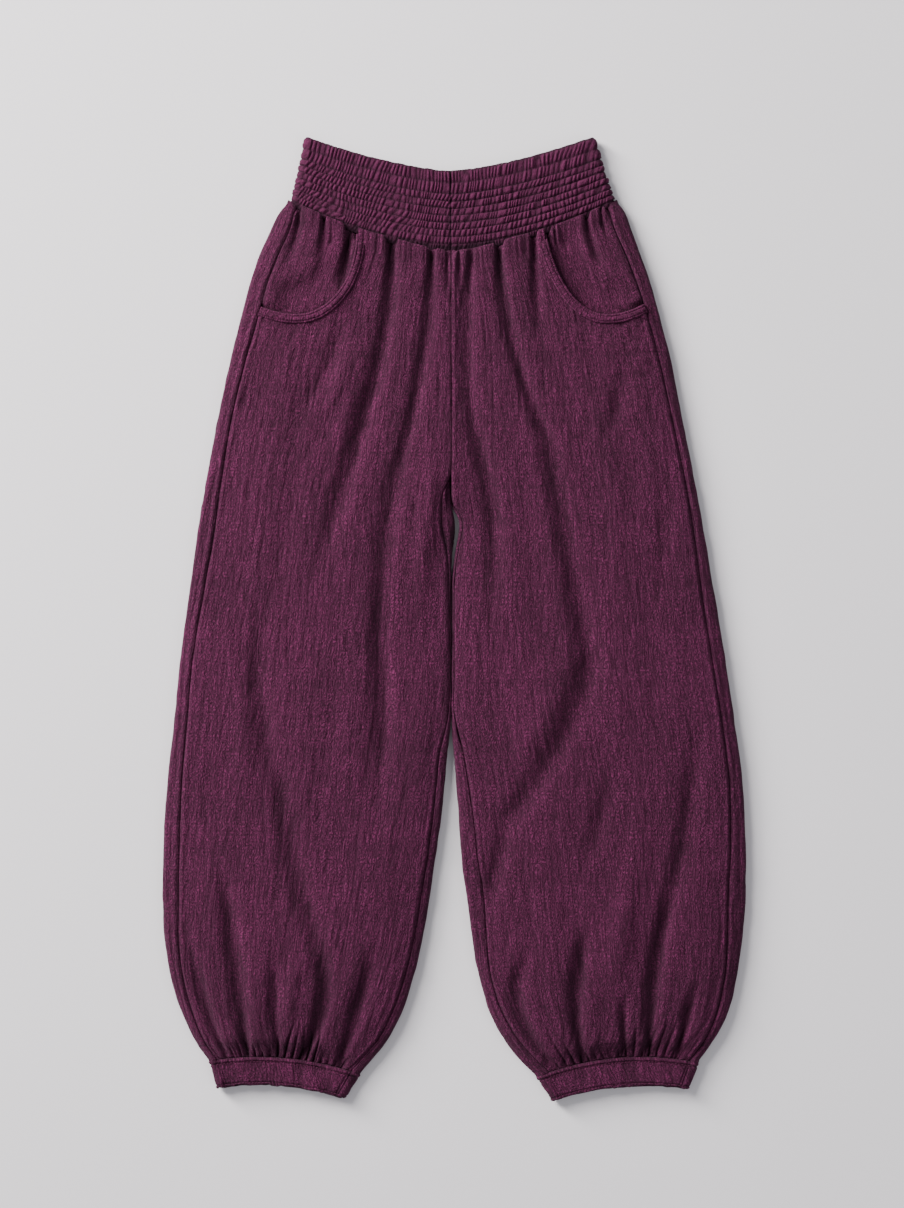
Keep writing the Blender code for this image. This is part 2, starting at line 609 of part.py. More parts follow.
def cuff_ring(side, share):
    leg = LEGS[side]
    x_out, _, x_in, _ = row_ends(leg, 1.0)
    (hem_x_out, hem_y_out), (hem_x_in, hem_y_in) = leg["hem"]
    ends = (x_out + (hem_x_out - x_out) * share, x_in + (hem_x_in - x_in) * share)
    section = flat_tube_section(min(ends), max(ends), ROLL, CUFF_WALL,
                                CUFF_FRONT_COLUMNS, CUFF_BACK_COLUMNS)
    faces = []
    for x, z in ((section[:, 0], section[:, 1]), (section[:, 2], section[:, 3])):
        u = (x - ends[0]) / (ends[1] - ends[0])
        seam = row_y(leg, 1.0, x_out + (x_in - x_out) * u) - SEAM_EASE
        hem = hem_y_out + (hem_y_in - hem_y_out) * u + leg["hem_bow"] * 4.0 * u * (1.0 - u)
        faces.append(np.stack([x, seam * (1.0 - share) + hem * share, z], axis=1))
    return faces


def make_cuff(side):
    rings = [cuff_ring(side, share) for share in CUFF_RINGS]
    outer = np.array([ring[0] for ring in rings])
    inner = np.array([ring[1] for ring in rings])
    return tube_object("cuff_" + side, outer, inner)


def mouth_line(side, steps=MOUTH_STEPS, widen=0.0):
    """Points of a pocket mouth from above the waist to outside the side seam."""
    pocket, out = POCKETS[side], LEGS[side]["out"]
    cx, cy = pocket["centre"]
    width, depth = pocket["half_width"] + widen, pocket["depth"] + widen
    points = []
    for i in range(steps + 1):
        angle = 0.5 * math.pi * i / steps
        points.append((cx - out * width * math.cos(angle), cy - depth * math.sin(angle)))
    points.insert(0, (points[0][0], MOUTH_ABOVE_WAIST))
    for i in range(1, steps // 2 + 1):
        run = (pocket["rise_over"] + CUTTER_OVERHANG) * i / (steps // 2)
        rise = pocket["rise"] * min(run / pocket["rise_over"], 1.4) ** 2
        points.append((cx + out * run, cy - depth + rise))
    return points


def make_cutter(side, widen):
    """Upright prism over the corner that a pocket mouth cuts away."""
    outline = mouth_line(side, widen=widen)
    outline.append((outline[-1][0], MOUTH_ABOVE_WAIST))
    work = bmesh.new()
    corners = [work.verts.new((x * MM, y * MM, 0.0)) for x, y in outline]
    face = work.faces.new(corners)
    raised = bmesh.ops.extrude_face_region(work, geom=[face])["geom"]
    moved = [v for v in raised if isinstance(v, bmesh.types.BMVert)]
    bmesh.ops.translate(work, verts=moved, vec=Vector((0.0, 0.0, CUTTER_HEIGHT * MM)))
    bmesh.ops.recalc_face_normals(work, faces=work.faces)
    name = "mouth_cutter_%s_%d" % (side, widen)
    mesh = bpy.data.meshes.new(name)
    work.to_mesh(mesh)
    work.free()
    cutter = bpy.data.objects.new(name, mesh)
    cutter.hide_render = True
    cutter.display_type = "WIRE"
    CUTTERS.objects.link(cutter)
    return cutter


def cut(piece, cutter, operation):
    modifier = piece.modifiers.new("pocket_mouth", "BOOLEAN")
    modifier.operation = operation
    modifier.solver = "EXACT"
    modifier.object = cutter


def inside_mouth(side, x, y):
    """Distance from a pocket mouth into the opening, below 0 on the front's side."""
    line = np.array(mouth_line(side, 60))
    nearest = np.min(np.hypot(x[..., None] - line[:, 0], y[..., None] - line[:, 1]), axis=-1)
    pocket, out = POCKETS[side], LEGS[side]["out"]
    cx, cy = pocket["centre"]
    sideways = (x - cx) * out
    ring = np.hypot((x - cx) / pocket["half_width"], (y - cy) / pocket["depth"])
    rise = pocket["rise"] * np.minimum(np.maximum(sideways, 0.0) / pocket["rise_over"], 1.4) ** 2
    over_bottom = y > cy - pocket["depth"] + rise
    over_arc = (ring < 1.0) | (y > cy) & (np.abs(sideways) < pocket["half_width"])
    within = np.where(sideways > 0.0, over_bottom, over_arc)
    return np.where(within, nearest, -nearest)


def make_front(side, lattice):
    lower = lattice - np.array([0.0, 0.0, PANEL_WALL])
    piece = wall_object("front_leg_" + side, lattice, lower)
    cut(piece, make_cutter(side, 0.0), "DIFFERENCE")
    return piece


def make_backing(side, lattice):
    patch = lattice[:BACKING_ROWS, :BACKING_COLUMNS].copy()
    depth = inside_mouth(side, patch[..., 0], patch[..., 1])
    patch[..., 2] -= BACKING_DROP * ease((DROP_FULL + DROP_FADE - depth) / DROP_FADE)
    lower = patch - np.array([0.0, 0.0, BACKING_WALL])
    piece = wall_object("pocket_backing_" + side, patch, lower)
    cut(piece, make_cutter(side, BACKING_LAP), "INTERSECT")
    return piece


def lattice_tree(lattice):
    rows, columns = lattice.shape[:2]
    vertices = [Vector(p) for p in lattice.reshape(-1, 3)]
    return BVHTree.FromPolygons(vertices, grid_faces(rows, columns, 0))


def height_over(tree, x, y, reach):
    """Highest point of a lattice close to a place."""
    highest = None
    for dx in (-reach, 0.0, reach):
        for dy in (-reach, 0.0, reach):
            hit = tree.ray_cast(Vector((x + dx, y + dy, 100.0)), Vector((0.0, 0.0, -1.0)))[0]
            if hit is not None and (highest is None or hit.z > highest):
                highest = hit.z
    return highest


def band_stations(side):
    """Evenly spaced places along a pocket mouth, from waist seam to side seam."""
    leg = LEGS[side]
    line = np.array(mouth_line(side, 80))
    steps = np.hypot(*np.diff(line, axis=0).T)
    run = np.concatenate([[0.0], np.cumsum(steps)])
    fine = np.linspace(0.0, run[-1], 1200)
    x = np.interp(fine, run, line[:, 0])
    y = np.interp(fine, run, line[:, 1])
    below_waist = row_y(leg, 0.0, x) - y > 2.0
    seam_inset = smooth_curve(SIDES, leg["side"] + 1, y)
    inside_seam = (outer_edge(leg, y) - x) * leg["out"] - seam_inset > 2.0
    kept = fine[below_waist & inside_seam]
    places = np.linspace(kept[0], kept[-1], MOUTH_BAND_STEPS + 1)
    return np.stack([np.interp(places, run, line[:, 0]), np.interp(places, run, line[:, 1])], axis=1)


def make_mouth_band(side, lattice):
    """Strip sewn round a pocket mouth, lying on the front."""
    tree = lattice_tree(lattice)
    stations = band_stations(side)
    along = np.gradient(stations, axis=0)
    along /= np.hypot(along[:, 0], along[:, 1])[:, None]
    sideways = np.stack([-along[:, 1], along[:, 0]], axis=1) * LEGS[side]["out"] * -1.0
    rows = []
    for inset in (0.3, MOUTH_BAND_WIDTH / 2.0, MOUTH_BAND_WIDTH):
        places = stations + sideways * inset
        heights = [height_over(tree, x, y, STRIP_CLEARANCE) for x, y in places]
        rows.append([(x, y, z + SEAM_GAP) for (x, y), z in zip(places, heights)])
    lower = np.array(rows)
    upper = lower + np.array([0.0, 0.0, MOUTH_BAND_WALL])
    return wall_object("pocket_band_" + side, upper, lower)


def stand_at_origin():
    """Moves all meshes so that the origin is at the bottom centre of the trousers."""
    corners = np.array([v.co for piece in PARTS.objects for v in piece.data.vertices])
    low, high = corners.min(axis=0), corners.max(axis=0)
    shift = Vector((-(low[0] + high[0]) / 2.0, -(low[1] + high[1]) / 2.0, -low[2]))
    for piece in list(PARTS.objects) + list(CUTTERS.objects):
        piece.data.transform(Matrix.Translation(shift))


for old in list(bpy.data.objects):
    bpy.data.objects.remove(old)

PARTS = bpy.data.collections.new("harem_trousers")
CUTTERS = bpy.data.collections.new("cutters")
for group in (PARTS, CUTTERS):
    bpy.context.scene.collection.children.link(group)

make_waistband()
for leg_side in LEGS:
    front = front_lattice(leg_side)
    make_front(leg_side, front)
    wall_object("back_leg_" + leg_side, *back_lattice(leg_side))
    make_backing(leg_side, front)
    make_mouth_band(leg_side, front)
    make_cuff(leg_side)
stand_at_origin()
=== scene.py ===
import math

import bpy
import numpy as np
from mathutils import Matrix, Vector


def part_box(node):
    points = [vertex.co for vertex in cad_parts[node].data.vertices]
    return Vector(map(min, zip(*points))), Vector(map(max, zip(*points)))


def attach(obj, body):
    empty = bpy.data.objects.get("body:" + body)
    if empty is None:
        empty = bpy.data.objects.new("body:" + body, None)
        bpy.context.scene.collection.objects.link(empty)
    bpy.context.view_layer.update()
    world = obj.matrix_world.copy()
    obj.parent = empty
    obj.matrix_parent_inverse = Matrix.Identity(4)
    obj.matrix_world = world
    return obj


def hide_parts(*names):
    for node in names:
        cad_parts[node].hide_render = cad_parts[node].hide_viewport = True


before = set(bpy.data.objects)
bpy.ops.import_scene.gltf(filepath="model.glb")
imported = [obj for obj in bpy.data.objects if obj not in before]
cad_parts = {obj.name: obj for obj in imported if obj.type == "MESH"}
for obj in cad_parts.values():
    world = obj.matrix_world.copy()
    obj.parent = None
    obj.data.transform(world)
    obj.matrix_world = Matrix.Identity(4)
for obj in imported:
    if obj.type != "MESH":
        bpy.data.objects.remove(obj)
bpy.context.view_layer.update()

mm = 0.001

# What the whole garment shares, in millimetres. Left and right are as seen from above.
garment = {
    "roll": 6.0,             # radius of the rolled side edges
    "seamGap": 0.3,
    "seamEase": 0.45,
    "shell": 0.9,            # thickness of the double gauze
    "innerRound": 7.0,       # radius of a front's inner edge below the crotch
    "swellReach": 26.0,
    "waistPuff": 13.0,
    "cuffPuff": 20.0,
    "crotchY": 150.0,
    "crotchFade": 60.0,
    "lowestTop": 9.5,
    "foldFreeEdge": 5.0,
    "foldEdgeFade": 14.0,
    "waistDipPower": 1.75,
    "waistDipEnd": 0.3,
    "cuffBowStart": 0.8,
    "leastLean": 0.72,
    "bandLowLeft": -167.2,   # lower left corner of the waistband, which places the frame
    "bandTop": 490.0,
}
bandLow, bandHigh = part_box("waistband")
shiftX = bandLow[0] / mm - garment["bandLowLeft"]
shiftY = bandHigh[1] / mm - garment["bandTop"]

# y, outer edge left, side seam inset left, outer edge right, side seam inset right
sideTable = [
    (422.5, -171.3, 13, 167.6, 13),
    (413.7, -178.6, 16, 173.9, 16),
    (400, -185, 19, 179.5, 17.5),
    (370, -198.3, 19.5, 190.5, 15.6),
    (340, -208.3, 18, 200.5, 14),
    (300, -219, 17.5, 211.3, 12.4),
    (260, -229, 16, 221.3, 12),
    (200, -242, 15, 233.2, 10.5),
    (140, -253, 16, 245.2, 10),
    (80, -263, 17.5, 256, 11),
    (20, -271, 15, 266, 13),
    (-40, -279, 13, 276, 14),
    (-100, -285.2, 14, 285.2, 13.5),
    (-165, -292.4, 15.5, 293.8, 14),
    (-225, -296.4, 17, 296.9, 15.5),
    (-285, -297.5, 17, 296.9, 18),
    (-327, -295.4, 15, 293.8, 16),
    (-368, -288.3, 13, 287.7, 13),
    (-408, -275.1, 11, 276.5, 11.5),
    (-430, -264.3, 9.5, 264.8, 10.5),
    (-450, -250.5, 9.5, 249.6, 10),
]

# y, inner edge, inseam inset, curl of the back's inner end (0 flat, 1 rolled over)
innerLeft = [
    (373.5, -3, 0, 0), (160, -3, 0, 0), (150, -3, 0, 0.2),
    (144, -3.1, 1.2, 0.6), (138, -3.2, 3.9, 0.84), (128, -3.2, 8.2, 1),
    (112, -2, 10.7, 1), (96, 0.2, 12.9, 1), (84, -0.2, 10.2, 1),
    (74, -1.2, 7.2, 1), (63, -2.2, 3.9, 0.84), (52, -2.8, 2.8, 0.74),
    (20, -2.7, 2.6, 0.72), (-60, -2.6, 2.6, 0.72),
    (-95, -3.1, 2.8, 0.74), (-112, -4.2, 4.6, 0.85), (-130, -6, 7.4, 1),
    (-165, -9.4, 8.2, 1), (-205, -13.6, 8.4, 1), (-246, -19.4, 8.2, 1),
    (-286, -25.8, 8.2, 1), (-327, -32.9, 8.4, 1), (-368, -42.2, 9, 1),
    (-408, -56.3, 10, 1), (-429, -67.5, 10.5, 1), (-449, -83.4, 11, 1),
    (-463.5, -95.8, 11, 1),
]
innerRight = [
    (373.5, -3, 0, 0), (134, -3, 0, 0), (124, -3, 0, 0.15),
    (116.5, -2.4, 1, 0.5), (110, 0.2, 2.2, 0.7), (103, 4, 2.7, 0.73),
    (95, 5.6, 2.8, 0.74), (85, 4.6, 2.7, 0.73), (72, 2, 2.6, 0.72),
    (56, -0.6, 2.6, 0.72), (38, -2.2, 2.6, 0.72), (5, -2.6, 2.6, 0.72),
    (-60, -2.6, 2.6, 0.72), (-95, -2.9, 2.8, 0.74), (-112, -2.4, 5.6, 0.88),
    (-132, -1.2, 9.6, 1),
    (-165, 1.6, 12.5, 1), (-205, 4.8, 15, 1), (-246, 7.8, 16.5, 1),
    (-286, 12.8, 17.5, 1), (-327, 18.2, 15, 1), (-368, 26.2, 12, 1),
    (-408, 39.3, 13, 1), (-429, 50.6, 15, 1), (-449, 66, 17, 1),
    (-466.3, 83.5, 18, 1),
]
legs = {
    "left": {"out": -1, "column": 1, "inner": innerLeft, "waist": (422.5, 373.5), "seed": 3,
             "cuff": (-450, -463.5), "cuffBow": 9.8,
             "hem": ((-242.5, -478.4), (-110.4, -489.5)), "hemBow": 8.3},
    "right": {"out": 1, "column": 3, "inner": innerRight, "waist": (422.5, 373.5), "seed": 8,
              "cuff": (-452, -466.3), "cuffBow": 12.5,
              "hem": ((239.6, -479.2), (98.9, -491.5)), "hemBow": 8.5},
}
swellTable = [(420, 4.5), (330, 4), (150, 3.6), (0, 4.2), (-200, 5.6),
              (-320, 7.6), (-400, 8.4), (-445, 6.5)]

# y and x at top, middle and end, depth, half width, fade in, fade out
folds = {
    "left": [
        (416, -157, 380, -164, 350, -173, 2.5, 6, 0, 0.5),
        (408, -131, 380, -135, 357, -139, 2.2, 5, 0, 0.5),
        (400, -105, 363, -111, 325, -119, 4.5, 7, 0, 0.4),
        (325, -114, 263, -126, 197, -167, 2.4, 9, 0.4, 0.5),
        (388, -64, 324, -66, 212, -91, 4.8, 8, 0, 0),
        (212, -91, 121, -116, 21, -150, 4.6, 10, 0, 0.8),
        (378, -23, 278, -30, 161, -55, 3.6, 7, 0, 0),
        (161, -55, 60, -71, -22, -77, 4, 10, 0, 0),
        (-22, -77, -134, -72, -261, -88, 3.8, 10, 0, 0.7),
        (376, -8, 355, -7, 324, -6, 1.6, 4, 0, 0.6),
        (39, -186, -37, -200, -159, -179, 3, 11, 0.5, 0),
        (-159, -179, -276, -155, -342, -135, 3.2, 11, 0, 0),
        (-342, -135, -388, -133, -445, -155, 5, 9, 0, 0),
        (-205, -245, -317, -227, -445, -211, 4.6, 9, 0.5, 0),
        (-312, -269, -383, -256, -445, -232, 3, 6, 0.5, 0),
        (-332, -180, -388, -183, -445, -178, 3, 6, 0.5, 0),
        (-322, -80, -378, -94, -455, -118, 4.2, 8, 0.5, 0),
        (192, -11, 100, -27, -12, -37, -2.4, 9, 0.4, 0.5),
        (283, -111, 227, -123, 192, -143, -2, 9, 0.5, 0.5),
        (-32, -214, -124, -216, -236, -207, -2, 12, 0.4, 0.5),
        (-337, -158, -378, -166, -419, -168, -1.8, 7, 0.4, 0.4),
    ],
    "right": [
        (376, 5, 355, 5, 324, 6, 1.6, 4, 0, 0.6),
        (378, 19, 294, 13, 192, 20, 3, 7, 0, 0),
        (192, 20, 80, 41, -42, 31, 4.6, 9, 0, 0.6),
        (382, 45, 299, 55, 182, 95, 4.2, 7, 0, 0),
        (182, 95, 39, 120, -42, 138, 3.2, 11, 0, 0),
        (-42, 138, -126, 108, -205, 55, 3.6, 14, 0, 0),
        (-205, 55, -251, 44, -312, 33, 3.2, 10, 0, 0.5),
        (392, 80, 334, 83, 263, 89, 3.4, 6, 0, 0.6),
        (412, 131, 375, 142, 334, 155, 2.8, 6, 0, 0.5),
        (416, 145, 400, 151, 385, 158, 2, 4, 0, 0.5),
        (283, 174, 222, 167, 159, 148, 2.2, 9, 0.5, 0.5),
        (182, 209, 100, 214, -12, 207, 1.8, 10, 0.5, 0.5),
        (-73, 244, -175, 241, -292, 217, 3.2, 10, 0.5, 0),
        (-292, 217, -373, 202, -446, 197, 5, 8, 0, 0),
        (-134, 165, -200, 150, -271, 128, 2.6, 10, 0.5, 0.5),
        (-327, 82, -368, 65, -445, 92, 3.4, 8, 0.4, 0),
        (-302, 140, -368, 125, -445, 130, 4.6, 8, 0.4, 0),
        (-373, 174, -403, 172, -446, 171, 3.2, 5, 0.5, 0),
        (-363, 246, -398, 238, -446, 226, 4.2, 6, 0.5, 0),
        (-393, 278, -419, 266, -446, 250, 2.4, 5, 0.4, 0),
        (399, 97, 388, 101, 374, 107, 2, 2.6, 0.3, 0.5),
        (393, 107, 382, 112, 368, 118, 1.6, 2.6, 0.4, 0.5),
        (243, 62, 121, 92, -22, 114, -1.8, 12, 0.4, 0),
        (-22, 114, -119, 82, -177, 34, -1.8, 15, 0, 0.5),
        (-164, 189, -286, 177, -409, 148, -2.2, 12, 0.4, 0.4),
    ],
}


def ease(t):
    t = np.clip(t, 0.0, 1.0)
    return t * t * (3.0 - 2.0 * t)


def smoothCurve(rows, column, y):
    # a curve without corners through the rows of a table
    data = np.array(sorted(rows), dtype=float)
    ys = data[:, 0]
    values = data[:, column]
    y = np.clip(y, ys[0], ys[-1])
    slopes = np.gradient(values, ys)
    i = np.clip(np.searchsorted(ys, y) - 1, 0, len(ys) - 2)
    step = ys[i + 1] - ys[i]
    t = (y - ys[i]) / step
    rise = values[i + 1] - values[i]
    first = slopes[i] * step - rise
    last = rise - slopes[i + 1] * step
    return values[i] + rise * t + t * (1.0 - t) * ((1.0 - t) * first + t * last)


def outerEdge(leg, y):
    return smoothCurve(sideTable, leg["column"], y)


def innerEdge(leg, y):
    return smoothCurve(leg["inner"], 1, y)


def lean(edge, leg, y):
    slope = (edge(leg, y + 1.0) - edge(leg, y - 1.0)) / 2.0
    return np.clip(1.0 / np.hypot(1.0, slope), garment["leastLean"], 1.0)


def rowEnds(leg, share):
    yOut = leg["waist"][0] + (leg["cuff"][0] - leg["waist"][0]) * share
    yIn = leg["waist"][1] + (leg["cuff"][1] - leg["waist"][1]) * share
    return float(outerEdge(leg, yOut)), yOut, float(innerEdge(leg, yIn)), yIn


def rowY(leg, share, x):
    xOut, yOut, xIn, yIn = rowEnds(leg, share)
    u = np.clip((x - xOut) / (xIn - xOut), 0.0, 1.0)
    dip = garment["waistDipPower"]
    power = dip - (dip - 1.0) * ease(share / garment["waistDipEnd"])
    start = garment["cuffBowStart"]
    bow = leg["cuffBow"] * ease((share - start) / (1.0 - start))
    return yIn + (yOut - yIn) * (1.0 - u) ** power + bow * 4.0 * u * (1.0 - u)


def fromEnds(leg, x, y):
    # distance below the waist seam and above the cuff
    return rowY(leg, 0.0, x) - y, y - rowY(leg, 1.0, x)


def crossing(leg, share, edge, rows, column, inwards):
    y = rowEnds(leg, share)[1] if inwards < 0 else rowEnds(leg, share)[3]
    for _ in range(6):
        x = edge(leg, y) + inwards * leg["out"] * smoothCurve(rows, column, y)
        y = rowY(leg, share, x)
    return float(x)


def sideSeamX(leg, share):
    return crossing(leg, share, outerEdge, sideTable, leg["column"] + 1, -1)


def inseamX(leg, share):
    return crossing(leg, share, innerEdge, leg["inner"], 2, 1)


# Smooth noise on a fixed table of random values
noiseTable = np.random.default_rng(41).uniform(-1.0, 1.0, (512, 512))


def softNoise(u, v, seed=0):
    u = np.asarray(u, dtype=float) + seed * 17.3
    v = np.asarray(v, dtype=float) + seed * 29.7
    iu, iv = np.floor(u).astype(int), np.floor(v).astype(int)
    fu, fv = ease(u - iu), ease(v - iv)
    a, b = iu % 512, (iu + 1) % 512
    c, d = iv % 512, (iv + 1) % 512
    low = noiseTable[a, c] * (1 - fu) + noiseTable[b, c] * fu
    high = noiseTable[a, d] * (1 - fu) + noiseTable[b, d] * fu
    return low * (1 - fv) + high * fv


crinkle = {
    "pitch": 4.3,            # across the grain, mm
    "run": 52.0,             # along the grain, mm
    "height": 0.85,
    "broadPitch": 10.0,
    "broadRun": 60.0,
    "broadHeight": 0.25,
    "finePitch": 2.6,
    "fineRun": 12.0,
    "fineHeight": 0.45,
    "wander": 2.8,
    "crossPitch": 5.0,       # of the creases that run across, at the hips
    "crossRun": 17.0,
    "crossHeight": 0.8,
}


def crinkleHeight(u, v, seed, cross=0.0):
    # long uneven creases of crinkled gauze, u across the grain and v along it
    c = crinkle
    warp = c["wander"] * softNoise(u / 26.0, v / 62.0, seed + 1)
    warp = warp + 0.5 * softNoise(u / 4.5, v / 19.0, seed + 2)
    line = softNoise((u + warp) / c["pitch"], v / c["run"], seed + 3)
    crease = 2.0 * np.abs(line) ** 0.62 - 1.0
    patch = 0.7 + 0.5 * softNoise(u / 30.0, v / 60.0, seed + 6)
    broad = softNoise((u + 1.5 * warp) / c["broadPitch"], v / c["broadRun"], seed + 4)
    fine = softNoise((u + warp) / c["finePitch"], v / c["fineRun"], seed + 5)
    sway = 2.5 * softNoise(u / 20.0, v / 20.0, seed + 7)
    over = softNoise(u / c["crossRun"], (v + sway) / c["crossPitch"], seed + 8)
    crossing = c["crossHeight"] * (2.0 * np.abs(over) ** 0.7 - 0.9)
    height = c["height"] * 0.5 * crease * patch * (1.0 - 0.6 * cross) + crossing * cross
    return height + c["broadHeight"] * broad + c["fineHeight"] * fine


def crossCreases(side, x, y):
    # where the cloth is creased across too, most of all under the right pocket
    out = legs[side]["out"]
    strong = 1.0 if side == "right" else 0.3
    hip = np.exp(-((x - out * 185.0) / 60.0) ** 2 - ((y - 290.0) / 62.0) ** 2)
    thigh = 0.35 * np.exp(-((x - out * 60.0) / 70.0) ** 2 - ((y - 150.0) / 120.0) ** 2)
    return np.clip(strong * hip + thigh, 0.0, 1.0)


foldLook = {
    "depth": 1.2,
    "drawnRun": 60.0,        # over which a fold narrows towards a seam
    "drawnWidth": 0.42,
    "rimWidth": 0.62,        # width of a fold between the puffs at the waist
    "rimDepth": 4.2,
    "centreRun": 21,         # folds nearer the centre seam than this part no puffs
    "slowHeight": 1.3,
    "waistGathers": 1.5,
    "join": 14.0,
}


def foldDepth(side, x, y, drawnIn=True):
    drawn = np.minimum(*fromEnds(legs[side], x, y))
    loose = ease(drawn / foldLook["drawnRun"])
    narrow = foldLook["drawnWidth"] + (1.0 - foldLook["drawnWidth"]) * loose
    if not drawnIn:
        narrow = foldLook["rimWidth"]
    total = np.zeros_like(x)
    for y0, x0, y1, x1, y2, x2, depth, width, fadeIn, fadeOut in folds[side]:
        if not drawnIn and abs(x0) < foldLook["centreRun"]:
            continue
        a = (y - y1) * (y - y2) / ((y0 - y1) * (y0 - y2))
        b = (y - y0) * (y - y2) / ((y1 - y0) * (y1 - y2))
        c = (y - y0) * (y - y1) / ((y2 - y0) * (y2 - y1))
        middle = a * x0 + b * x1 + c * x2
        along = (y0 - y) / (y0 - y2)
        join = foldLook["join"]
        strength = np.full_like(x, depth)
        if fadeIn:
            strength = strength * ease(along / fadeIn)
        elif y0 < 300.0:
            strength = strength * ease((y0 + join - y) / (2.0 * join))
        if fadeOut:
            strength = strength * ease((1.0 - along) / fadeOut)
        elif y2 > -400.0:
            strength = strength * ease((y - y2 + join) / (2.0 * join))
        total = total + strength * np.exp(-((x - middle) / (width * narrow)) ** 2)
    lower = 1.0 + 0.25 * ease((-200.0 - y) / 120.0)
    upper = 1.0 + 0.75 * (1.0 - loose) * (y > 0.0)
    return total * foldLook["depth"] * lower * upper


def waistPuff(side, x, y):
    # how full the gathered cloth stands just under the waistband, 0 in a fold
    puff = ease(1.3 - foldDepth(side, x, y - 5.0, False) / foldLook["rimDepth"])
    return puff * (0.55 + 0.45 * ease(np.abs(x) / 70.0))


def topHeight(side, x, y):
    leg = legs[side]
    g = garment
    fromSide = (outerEdge(leg, y) - x) * leg["out"] * lean(outerEdge, leg, y)
    fromInner = (x - innerEdge(leg, y)) * leg["out"] * lean(innerEdge, leg, y)
    belowCrotch = ease((g["crotchY"] - y) / g["crotchFade"])
    sideRise = 1.0 - np.exp(-np.maximum(fromSide - g["roll"], 0.0) / g["swellReach"])
    innerRise = 1.0 - belowCrotch * np.exp(-np.maximum(fromInner - g["roll"], 0.0) / g["swellReach"])
    swell = smoothCurve(swellTable, 1, y) * sideRise * innerRise
    fromWaist, fromCuff = fromEnds(leg, x, y)
    within = np.clip(g["innerRound"] - fromInner, 0.0, g["innerRound"])
    rounding = belowCrotch * (g["innerRound"] - np.sqrt(g["innerRound"] ** 2 - within ** 2))
    swell = swell * ease(fromWaist / g["waistPuff"]) * ease(fromCuff / g["cuffPuff"])
    edgeFade = ease((fromSide - g["foldFreeEdge"]) / g["foldEdgeFade"])
    innerFade = ease((fromInner - g["foldFreeEdge"]) / g["foldEdgeFade"])
    edgeFade = edgeFade * (1.0 - belowCrotch * (1.0 - innerFade))
    waistFade = np.clip(0.2 + fromWaist / 11.0, 0.0, 1.0)
    cuffFade = np.clip(0.2 + fromCuff / 14.0, 0.0, 1.0)
    depth = foldDepth(side, x, y) * edgeFade * waistFade * cuffFade
    slow = softNoise((x + 0.12 * y * leg["out"]) / 23.0, y / 120.0, leg["seed"])
    slow = foldLook["slowHeight"] * slow * edgeFade * ease(fromCuff / 40.0)
    return np.maximum(2.0 * g["roll"] + swell - depth + slow, g["lowestTop"]) - rounding


# Rows across a leg, close together where the cloth is gathered
def legShares():
    length = 855.0
    near = np.arange(0.0, 26.0, 1.05)
    far = np.arange(0.0, 44.0, 1.25)
    middle = np.arange(near[-1] + 2.2, length - far[-1] - 2.0, 5.4)
    fork = np.arange(215.0, 300.0, 2.6)
    hips = np.arange(40.0, 215.0, 2.6)
    spots = np.concatenate([near, middle, hips, fork, length - far])
    spots = np.unique(np.round(spots / length, 5))
    return spots[np.concatenate([[True], np.diff(spots) > 0.0009])]


shares = legShares()
print("rows down a leg", len(shares))


def meshPiece(name, points, faces, uvs, material, nodes=(), hollowShade=None):
    # a finished piece: mesh, uv map in metres and material
    mesh = bpy.data.meshes.new(name)
    coords = np.array(points, dtype=np.float64).reshape(-1, 3) + np.array([shiftX, shiftY, 0.0])
    mesh.from_pydata((coords * mm).tolist(), [], faces)
    layer = mesh.uv_layers.new(name="UVMap")
    loops = np.empty(len(mesh.loops), dtype=np.int32)
    mesh.loops.foreach_get("vertex_index", loops)
    uvs = np.asarray(uvs).reshape(-1, 2)
    layer.data.foreach_set("uv", (uvs[loops] * mm).astype(np.float32).ravel())
    # painted shade: a per-point attribute that darkens the cloth's colour in folds, gathers, seams and
    # gaps
    paintedShade = mesh.attributes.new("hollowShade", "FLOAT", "POINT")
    depth = np.zeros(len(mesh.vertices)) if hollowShade is None else np.asarray(hollowShade)
    paintedShade.data.foreach_set("value", np.clip(depth, 0.0, 1.0).astype(np.float32).ravel())
    mesh.polygons.foreach_set("use_smooth", [True] * len(mesh.polygons))
    mesh.materials.append(material)
    piece = bpy.data.objects.new(name, mesh)
    bpy.context.scene.collection.objects.link(piece)
    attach(piece, "root")
    if nodes:
        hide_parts(*nodes)
    return piece


def thicken(piece, thickness):
    wall = piece.modifiers.new("clothThickness", "SOLIDIFY")
    wall.thickness = thickness * mm
    wall.offset = -1.0
    wall.use_even_offset = False
    wall.use_rim = True


def latticeFaces(rows, columns, keep=None, closed=False, flip=False):
    across = columns if closed else columns - 1
    r, c = np.meshgrid(np.arange(rows - 1), np.arange(across), indexing="ij")
    a = r * columns + c
    b = r * columns + (c + 1) % columns
    quads = np.stack([a, b, b + columns, a + columns], axis=-1)
    if flip:
        quads = quads[..., ::-1]
    if keep is not None:
        return quads[keep].tolist()
    return quads.reshape(-1, 4).tolist()


def cutSheet(side, x, y, z, grain, hollowShade, keep):
    # the cells of a grid that keep names, with no loose points: points, uv, painted hollow shade and faces
    faces = np.array(latticeFaces(*x.shape, keep=keep, flip=side == "left"))
    used = np.unique(faces)
    renumber = np.full(x.size, -1)
    renumber[used] = np.arange(len(used))
    points = np.stack([x, y, z], axis=-1).reshape(-1, 3)[used]
    uvs = np.stack([grain, y], axis=-1).reshape(-1, 2)[used]
    return points, uvs, hollowShade.ravel()[used], renumber[faces].tolist()


